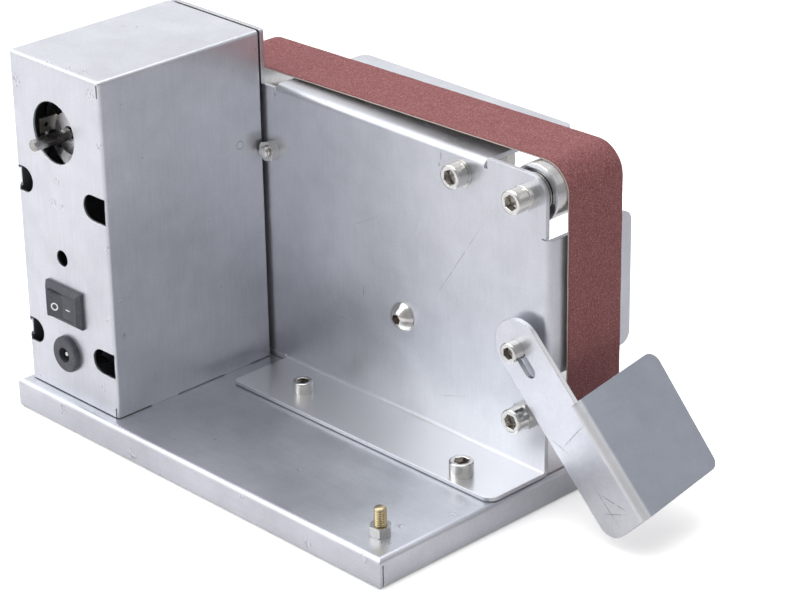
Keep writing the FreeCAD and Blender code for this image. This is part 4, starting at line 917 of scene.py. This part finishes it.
def belt_strip(name, inner, outer, inset, look, gritty=False, replaces=None):
    """One layer between two heights over the belt line, inset from the belt's edges."""
    path = belt_path()
    count = len(path)
    steps = [math.hypot(b[0] - a[0], b[1] - a[1]) for a, b in zip(path, path[1:] + path[:1])]
    total = sum(steps)
    travel = list(accumulate(steps, initial=0.0))[:-1]
    across = [BELT_FRONT + inset + (BELT_WIDTH - 2 * inset) * j / BELT_CELLS
              for j in range(BELT_CELLS + 1)]
    draws = random.Random(11)

    def grain_height(x, y, z, along, at_edge):
        height = 0.055 * noise.noise(Vector((x * 2.2, y * 2.2, z * 2.2))) - 0.03
        if at_edge:
            height -= 0.12 + 0.05 * draws.random()
        # splice: a slanted lap, slightly thinner
        lap = (along - (total * 0.63 + (y - BELT_FRONT) * 0.7)) / 1.6
        return height - 0.07 * math.exp(-lap * lap)

    # at each station, a row of outer vertices and then a row of inner ones
    verts, faces, uvs = [], [], []
    for (x, z, nx, nz), along in zip(path, travel):
        wobble = (0.05 * math.sin(along / total * 2 * math.pi * 23)
                  + 0.04 * noise.noise(Vector((along * 0.9, 3.0, inner))))
        row = [across[0] + wobble, *across[1:-1], across[-1] + wobble]
        for j, y in enumerate(across):
            height = outer
            if gritty:
                height += grain_height(x, y, z, along, at_edge=j in (0, BELT_CELLS))
            verts.append(point(x + nx * height, row[j], z + nz * height))
        verts.extend(point(x + nx * inner, y, z + nz * inner) for y in row)
    row_size = BELT_CELLS + 1
    width = 2 * row_size
    for i in range(count):
        a, b = i * width, ((i + 1) % count) * width
        for j in range(BELT_CELLS):
            faces.append((a + j, b + j, b + j + 1, a + j + 1))
            faces.append((a + row_size + j, a + row_size + j + 1,
                          b + row_size + j + 1, b + row_size + j))
        faces.append((a, a + row_size, b + row_size, b))
        faces.append((a + BELT_CELLS, b + BELT_CELLS, b + width - 1, a + width - 1))
    for face in faces:
        closes_loop = max(face) // width == count - 1
        for corner in face:
            station, place = divmod(corner, width)
            along = total if station == 0 and closes_loop else travel[station]
            uvs.append((along / 1000.0, across[place % row_size] / 1000.0))
    add_piece(name, (verts, faces), look, angle=50.0, replaces=replaces,
              uvs=uvs)


belt_strip("belt_backing", inner=0.0, outer=CLOTH_THICKNESS, inset=0.0, look="cloth")
belt_strip("belt_grit_layer", inner=CLOTH_THICKNESS + 0.004, outer=BELT_THICKNESS, inset=0.12,
           look="grit", gritty=True, replaces="abrasive_belt")

# =====================================================================
# socket head screws
# =====================================================================
M6 = dict(head_radius=5.0, head_height=6.0, shank_radius=3.0, socket=5.6, pitch=1.0)
M5 = dict(head_radius=4.25, head_height=5.0, shank_radius=2.5, socket=4.5, pitch=0.8)
ROLLER_HEAD, PLATEN_HEAD, CLAMP_HEAD = 79.2, 83.0, 78.98
KNURL_TEETH, KNURL_DEPTH = 24, 0.16


def cap_screw(name, replaces, size, head, axis, length, plain, turn, body=FRAME):
    """head is the centre of the head's outer face, axis points into the shank.

    plain is the unthreaded length under the head, turn the socket's angle.
    """
    head_radius, head_height = size["head_radius"], size["head_height"]
    shank, pitch = size["shank_radius"], size["pitch"]
    hexagonal = hexagon(size["socket"], turn)
    depth = head_height * 0.55

    def knurled(angle):
        phase = (angle * KNURL_TEETH / (2 * math.pi)) % 1.0
        return head_radius - KNURL_DEPTH * (1.0 - min(1.0, abs(phase - 0.5) * 4.0))

    rings = [
        # socket, from its bottom out
        (depth + size["socket"] * 0.16, 0.02), (depth, lambda angle: hexagonal(angle) * 0.96),
        (depth - 0.02, hexagonal), (0.22, hexagonal),
        (0.0, lambda angle: hexagonal(angle) + 0.30),
        # rounded rim
        (0.0, head_radius - 0.62), (0.10, head_radius - 0.34), (0.32, head_radius - 0.12),
        (0.62, head_radius - 0.01), (0.95, head_radius), (1.15, knurled)]
    rings += [(1.15 + (head_height - 1.75) * k / 4.0, knurled) for k in range(1, 5)]
    rings += [
        # underside of the head, then the plain shank
        (head_height - 0.38, head_radius), (head_height - 0.12, head_radius - 0.03),
        (head_height, head_radius - 0.16), (head_height, shank + 0.2),
        (head_height + 0.25, shank), (head_height + plain, shank)]
    rings += thread_rings(head_height + plain + 0.1, length - 0.7, shank, pitch, pitch * 0.52)
    rings += [(length - 0.45, shank - pitch * 0.42), (length - 0.12, shank - pitch * 0.62),
              (length, shank - pitch * 0.82)]
    add_piece(name, lathe(point(*head), axis, rings, sides=72), "nickel", angle=38.0, body=body,
              replaces=replaces)


cap_screw("screw_roller_top", "roller_top_axle_bolt", M6,
          head=(TOP_ROLLER_X, ROLLER_HEAD, TOP_ROLLER_Z), axis=Y_AXIS,
          length=134.6 - ROLLER_HEAD, plain=30.0, turn=0.35)
cap_screw("screw_roller_low", "roller_low_axle_bolt", M6,
          head=(LOW_ROLLER_X, ROLLER_HEAD, LOW_ROLLER_Z), axis=Y_AXIS,
          length=136.6 - ROLLER_HEAD, plain=30.0, turn=0.05)
cap_screw("screw_platen_support", "platen_support_bolt", M6,
          head=(174.9, PLATEN_HEAD, 128.4), axis=Y_AXIS,
          length=115.4 - PLATEN_HEAD, plain=4.0, turn=0.6)
cap_screw("screw_rest_clamp", "rest_clamp_bolt", M5,
          head=(209.8, CLAMP_HEAD, 66.6), axis=Y_AXIS,
          length=98.4 - CLAMP_HEAD, plain=0.4, turn=0.5, body="rest_pivot")
cap_screw("screw_flange_left", "flange_screw_left", M5,
          head=(98.3, 72.8, PAN_TOP + 7.0), axis=-Z_AXIS,
          length=PAN_TOP + 7.0 - 3.2, plain=0.4, turn=0.2)
cap_screw("screw_flange_right", "flange_screw_right", M6,
          head=(196.3, 67.2, PAN_TOP + 8.0), axis=-Z_AXIS,
          length=PAN_TOP + 8.0 - 2.0, plain=0.4, turn=0.5)

# =====================================================================
# studs
# =====================================================================
STUD_THREAD = dict(radius=2.5, pitch=0.8, depth=0.42, step=7, lead=0.8)
FEET_X, FEET_Y = (14.7, 205.3), (14.7, 123.3)


def foot_studs():
    rings = [(0.0, 2.1), (0.3, 2.5)]
    rings += thread_rings(0.5, 20.0, **STUD_THREAD)
    rings += [(20.15, 2.2), (20.5, 1.9), (20.6, 1.7)]
    studs = [lathe(point(x, y, 3.0), Z_AXIS, rings, sides=40) for y in FEET_Y for x in FEET_X]
    add_piece("stud_threads", join(studs), "yellow", angle=40, replaces="feet_studs")


foot_studs()

POST_X, POST_Z, POST_FRONT = 65.1, 107.8, 84.0


def spring_post():
    """Threaded stud through the plate, grooved for the spring, with a hex head behind."""
    hexagonal = hexagon(8.0)

    def chamfered(angle):
        return min(hexagonal(angle), 4.25)

    rings = [(0.0, 1.9), (0.15, 2.2)]
    rings += thread_rings(0.4, 8.0, **STUD_THREAD)
    rings += [(8.2, 2.5), (14.0, 2.5), (14.1, 2.45), (14.2, 1.92), (15.8, 1.92), (15.9, 2.45),
              (16.0, 2.5), (19.0, 2.5)]
    rings += [(19.0, 3.6), (19.25, chamfered), (19.5, hexagonal), (21.5, hexagonal),
              (21.75, chamfered), (22.0, 3.7)]
    add_piece("spring_post_stud", lathe(point(POST_X, POST_FRONT, POST_Z), Y_AXIS, rings, 48),
              "nickel", angle=38, replaces="spring_post")


spring_post()

# =====================================================================
# tension spring, from the post to the pin on the tension arm
# =====================================================================
PIN_X, PIN_Z = 108.6, 106.8
SPRING_Y = 99.0
SPRING_WIRE, COIL_RADIUS, SPRING_HOOK = 0.5, 2.7, 8.0
# distance from the loop's centre, side offset and y offset from the loop to the coil
HOOK_STATIONS = ((3.4, 0.6, -0.1), (5.2, 0.25, -0.4), (6.6, 0.1, -1.2), (7.4, 0.0, -2.1))
PIN_HOOK_STATIONS = ((7.4, 0.0, -2.1), (6.6, -0.1, -1.2), (5.2, -0.25, -0.4), (3.4, -0.6, -0.1))


def tension_spring():
    length = math.hypot(PIN_X - POST_X, PIN_Z - POST_Z)
    ux, uz = (PIN_X - POST_X) / length, (PIN_Z - POST_Z) / length
    coil_length = length - 2 * SPRING_HOOK
    turns = int(coil_length / (2 * SPRING_WIRE * 1.02))

    def local(along, side, back):
        return point(POST_X + ux * along - uz * side, SPRING_Y + back,
                     POST_Z + uz * along + ux * side)

    points = []
    for k in range(25):
        angle = math.radians(200 - 360 * k / 24.0 * 0.92)
        points.append(local(2.45 * math.cos(angle), 2.45 * math.sin(angle), 0.25 - 0.5 * k / 24.0))
    points += [local(*station) for station in HOOK_STATIONS]
    for k in range(turns * 18 + 1):
        angle = -math.pi / 2 + 2 * math.pi * k / 18.0
        points.append(local(SPRING_HOOK + coil_length * k / (turns * 18.0),
                            COIL_RADIUS * math.cos(angle), COIL_RADIUS * math.sin(angle)))
    points += [local(length - along, side, back) for along, side, back in PIN_HOOK_STATIONS]
    for k in range(25):
        angle = math.radians(182 + 360 * k / 24.0 * 0.92)
        points.append(local(length + 2.1 * math.cos(angle), 2.1 * math.sin(angle),
                            -0.25 + 0.5 * k / 24.0))
    spring = add_piece("tension_spring_coil", wire(points, SPRING_WIRE, sides=9), "spring",
                       angle=60.0, body=None, replaces="tension_spring")
    point(POST_X + 3.0, SPRING_Y, POST_Z)
    point(PIN_X - 3.0, SPRING_Y, PIN_Z)
    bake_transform(spring)


tension_spring()

# =====================================================================
# cables: points x, y, z along each run
# =====================================================================
RED_RUNS = (
    # jack to switch
    ((JACK_X - JACK_TAB, BOX_FRONT + 18.6, JACK_Z), (JACK_X - 3.0, BOX_FRONT + 25, JACK_Z + 0.6),
     (JACK_X - 5.0, BOX_FRONT + 29.5, JACK_Z + 7), (SWITCH_X - 6.4, BOX_FRONT + 29, SWITCH_Z - 6),
     (SWITCH_TAB_X, BOX_FRONT + 25.5, SWITCH_Z - 0.6), (SWITCH_TAB_X, BOX_FRONT + 21.2, SWITCH_Z)),
    # switch to the right motor terminal
    ((SWITCH_X, BOX_FRONT + 21.2, SWITCH_Z), (SWITCH_X + 0.3, BOX_FRONT + 25.5, SWITCH_Z + 0.6),
     (SWITCH_X + 3.4, BOX_FRONT + 28.6, SWITCH_Z + 8), (45.0, 28.6, 76.0), (50.4, 25.0, 88.0),
     (52.2, 15.6, 104.0), (MOTOR_X + TERMINAL_OFFSET + 0.9, 13.8, MOTOR_Z - 9.5),
     (MOTOR_X + TERMINAL_OFFSET, TERMINAL_Y, MOTOR_Z - 4.7)),
)
BLACK_RUNS = (
    # jack to the left motor terminal
    ((JACK_X + JACK_TAB, BOX_FRONT + 18.6, JACK_Z), (JACK_X + 3.2, BOX_FRONT + 26, JACK_Z + 0.6),
     (JACK_X + 1.0, BOX_FRONT + 31.6, JACK_Z + 5), (21.0, 37.6, 50.0), (12.6, 35.6, 63.0),
     (11.2, 26.0, 84.0), (11.6, 15.6, 104.0),
     (MOTOR_X - TERMINAL_OFFSET - 0.8, 13.8, MOTOR_Z - 9.5),
     (MOTOR_X - TERMINAL_OFFSET, TERMINAL_Y, MOTOR_Z - 4.7)),
)


def cable(name, runs, look, replaces):
    shapes = [wire(smooth_line([point(*place) for place in run], steps=12), 0.9, sides=14)
              for run in runs]
    add_piece(name, join(shapes), look, angle=50, replaces=replaces)


cable("cable_red", RED_RUNS, "red", replaces="wires_red")
cable("cable_black", BLACK_RUNS, "black", replaces="wire_black")

# =====================================================================
# rotor windings: wire wound round a ring at each end of the rotor
# =====================================================================
# front and back of each ring, y
WINDING_SPANS = ((MOTOR_FRONT + 14.5, MOTOR_FRONT + 20), (MOTOR_BACK - 18, MOTOR_BACK - 13))
WINDING_RADIUS, WINDING_THICKNESS = 9.45, 4.35
WINDING_TURNS, TURN_STEPS = 74, 12


def windings():
    shapes = []
    for front, back in WINDING_SPANS:
        half_depth = (back - front) / 2 - 0.36
        points = []
        for k in range(WINDING_TURNS * TURN_STEPS):
            around = 2 * math.pi * k / (WINDING_TURNS * TURN_STEPS)
            within = 2 * math.pi * k / TURN_STEPS
            # five bulges round the ring
            bulge = 1.0 + 0.06 * math.cos(5 * around)
            radius = WINDING_RADIUS + WINDING_THICKNESS * bulge * math.cos(within) * 0.93
            y = (front + back) / 2 + half_depth * math.sin(within) * bulge * 0.94
            points.append(point(MOTOR_X + radius * math.cos(around), y,
                                MOTOR_Z + radius * math.sin(around)))
        shapes.append(wire(points, 0.33, sides=6, closed=True))
    add_piece("rotor_windings_wire", join(shapes), "copper", angle=70, body="motor_rotor",
              replaces="motor_windings")


windings()

# =====================================================================
# switch marks: a ring on the rocker's left face, a bar on its right
# =====================================================================
MARK_HEIGHT = 0.09
ROCKER_ANGLE = math.radians(10.0)


def ring_mark(centre, side, up, outward, inner=1.15, outer=1.75, segments=48):
    section = ((inner, 0.0), (inner, MARK_HEIGHT), (outer, MARK_HEIGHT), (outer, 0.0))
    verts, faces = [], []
    for k in range(segments):
        angle = 2 * math.pi * k / segments
        radial = side * math.cos(angle) + up * math.sin(angle)
        verts += [centre + radial * (radius / 1000.0) + outward * (height / 1000.0)
                  for radius, height in section]
    for k in range(segments):
        a, b = k * 4, ((k + 1) % segments) * 4
        for j in range(4):
            i = (j + 1) % 4
            faces.append((a + j, b + j, b + i, a + i))
    return verts, faces


def bar_mark(centre, side, up, outward, length=2.7, width=0.55):
    """A bar with round ends."""
    radius = width / 2.0
    outline = []
    for end in (1, -1):
        for k in range(9):
            angle = -math.pi / 2 + math.pi * k / 8.0
            outline.append((end * (length / 2.0 - radius + radius * math.cos(angle)),
                            end * radius * math.sin(angle)))
    verts = [centre + side * (x / 1000.0) + up * (y / 1000.0) for x, y in outline]
    verts += [vert + outward * (MARK_HEIGHT / 1000.0) for vert in verts]
    count = len(outline)
    faces = [tuple(range(count - 1, -1, -1)), tuple(range(count, 2 * count))]
    for k in range(count):
        j = (k + 1) % count
        faces.append((k, j, count + j, count + k))
    return verts, faces


def rocker_marks():
    """The rocker's two faces slope back from its middle; it rests with its left end out."""
    cosine, sine = math.cos(ROCKER_ANGLE), math.sin(ROCKER_ANGLE)

    def turned_rocker(x, y):
        return x * cosine - y * sine, x * sine + y * cosine

    from_middle = 3.6
    for direction, name, mark in ((-1, "off", ring_mark), (1, "on", bar_mark)):
        x, y = turned_rocker(direction * from_middle,
                             -(5.0 + from_middle * math.tan(ROCKER_ANGLE)))
        side = Vector((*turned_rocker(direction * cosine, -sine), 0)).normalized()
        outward = side.cross(Z_AXIS) * direction
        # sunk slightly, so the mark has no gap under it
        centre = point(SWITCH_X + x, BOX_FRONT + 2.0 + y, SWITCH_Z - 0.6) - outward * 0.00003
        add_piece("switch_mark_" + name, mark(centre, side, Z_AXIS, outward), "mark", angle=40,
                  body="switch_rocker")


rocker_marks()

# =====================================================================
# solder joints
# =====================================================================
# centre x, y, z and the blob's three radii
JACK_BLOB, SWITCH_BLOB, MOTOR_BLOB = (0.95, 1.1, 1.3), (1.05, 1.2, 1.5), (1.1, 1.2, 1.3)
SOLDER_JOINTS = (
    ((JACK_X - JACK_TAB, BOX_FRONT + 18.4, JACK_Z), JACK_BLOB),
    ((JACK_X + JACK_TAB, BOX_FRONT + 18.4, JACK_Z), JACK_BLOB),
    ((SWITCH_TAB_X, BOX_FRONT + 21.0, SWITCH_Z), SWITCH_BLOB),
    ((SWITCH_X, BOX_FRONT + 21.0, SWITCH_Z), SWITCH_BLOB),
    ((MOTOR_X - TERMINAL_OFFSET, TERMINAL_Y, MOTOR_Z - 3.6), MOTOR_BLOB),
    ((MOTOR_X + TERMINAL_OFFSET, TERMINAL_Y, MOTOR_Z - 3.6), MOTOR_BLOB),
)


def blob(centre, radii, seed):
    work = bmesh.new()
    bmesh.ops.create_icosphere(work, subdivisions=3, radius=1.0)
    verts = []
    for vert in work.verts:
        way = vert.co.normalized()
        swell = 1.0 + 0.16 * noise.noise(way * 1.7 + Vector((seed, 0, 0)))
        verts.append(Vector([part * radius * swell for part, radius in zip(way, radii)]) / 1000.0
                     + centre)
    faces = [tuple(vert.index for vert in face.verts) for face in work.faces]
    work.free()
    return verts, faces


add_piece("solder_joints",
          join([blob(point(*place), radii, seed=index * 3.7)
                for index, (place, radii) in enumerate(SOLDER_JOINTS)]),
          "solder", angle=60)


# =====================================================================
# stage, in metres
# =====================================================================
def floor_material():
    surface = Surface("floor_paper")
    color = surface.paint((0.90, 0.90, 0.90), (0.94, 0.94, 0.94), mask=surface.noise(scale=0.02))
    # reflections see a floor that darkens to the back right
    geometry = surface.node("NewGeometry")
    x, y, _ = surface.split(surface.output(geometry, "Position"))
    gray = (x * 1.0 + y * 0.55).ramp(low=-0.25, high=0.55, start=0.84, end=0.50)
    reflected = surface.output(surface.node("CombineColor", {0: gray, 1: gray * 0.985, 2: gray}))
    rays = surface.node("LightPath")
    color = surface.paint(color, reflected, mask=surface.output(rays, "Is Glossy Ray"))
    return surface.finish(color=color, roughness=0.9, metallic=0.0, specular=0.0,
                          emission=(1, 1, 1),
                          emission_strength=surface.output(rays, "Is Camera Ray") * 0.40)


def floor():
    half, z = 6.0, CAD_LOW.z - 0.00005
    mesh = bpy.data.meshes.new("floor")
    mesh.from_pydata([(-half, -half, z), (half, -half, z), (half, half, z), (-half, half, z)],
                     [], [(0, 1, 2, 3)])
    mesh.update()
    sheet = bpy.data.objects.new("floor", mesh)
    bpy.context.scene.collection.objects.link(sheet)
    mesh.materials.append(floor_material())


def world():
    """Brighter overhead, to the left and to the back."""
    studio = bpy.data.worlds.new("studio")
    bpy.context.scene.world = studio
    studio.use_nodes = True
    graph = Graph(studio.node_tree)
    x, y, z = graph.split(graph.output(graph.node("TexCoord"), "Generated"))
    # weights of the three directions in the brightness
    slope = graph.math("MULTIPLY_ADD", y, 0.3, z * 0.25)
    slope = graph.math("MULTIPLY_ADD", x, -1.3, slope)
    strength = slope.ramp(low=-0.6, high=1.0, start=0.40, end=0.98)
    background = graph.node("Background", {"Color": (0.98, 0.975, 0.985), "Strength": strength})
    graph.node("OutputWorld", {0: graph.output(background)})


def area_light(name, offset, height, target_height, size, power):
    """A square light, offset in x and y from the middle of the machine, which it faces."""
    middle = (CAD_LOW + CAD_HIGH) / 2
    data = bpy.data.lights.new(name, "AREA")
    data.shape = "RECTANGLE"
    data.size = size
    data.size_y = size
    data.energy = power
    light = bpy.data.objects.new(name, data)
    bpy.context.scene.collection.objects.link(light)
    light.location = (middle.x + offset[0], middle.y + offset[1], height)
    aim = Vector((middle.x, middle.y, target_height)) - light.location
    light.rotation_mode = "QUATERNION"
    light.rotation_quaternion = aim.to_track_quat("-Z", "Y")


def camera():
    """Looks down from the front right."""
    data = bpy.data.cameras.new("camera")
    viewer = bpy.data.objects.new("camera", data)
    bpy.context.scene.collection.objects.link(viewer)
    data.sensor_width = 36.0
    data.lens = 131.43
    data.clip_start = 0.05
    data.clip_end = 30.0
    azimuth, elevation, roll = (math.radians(angle) for angle in (46.344, 24.802, -1.031))
    back = Vector((math.sin(azimuth) * math.cos(elevation),
                   -math.cos(azimuth) * math.cos(elevation), math.sin(elevation)))
    level = Vector((math.cos(azimuth), math.sin(azimuth), 0.0))
    upright = back.cross(level)
    right = level * math.cos(roll) + upright * math.sin(roll)
    up = -level * math.sin(roll) + upright * math.cos(roll)
    matrix = Matrix((right, up, back)).transposed().to_4x4()
    matrix.translation = Vector((ORIGIN.x + 0.90351, ORIGIN.y - 0.64076, ORIGIN.z + 0.55252))
    viewer.matrix_world = matrix
    bpy.context.scene.camera = viewer


floor()
world()
area_light("key", offset=(-0.75, -0.85), height=0.95, target_height=0.05, size=1.6, power=8.0)
area_light("top", offset=(-0.1, 0.1), height=1.25, target_height=0.0, size=1.1, power=9.0)
area_light("rim", offset=(0.9, 0.8), height=0.9, target_height=0.08, size=0.7, power=0.4)
camera()
bpy.context.scene.view_settings.view_transform = "Standard"
bpy.context.scene.view_settings.look = "None"
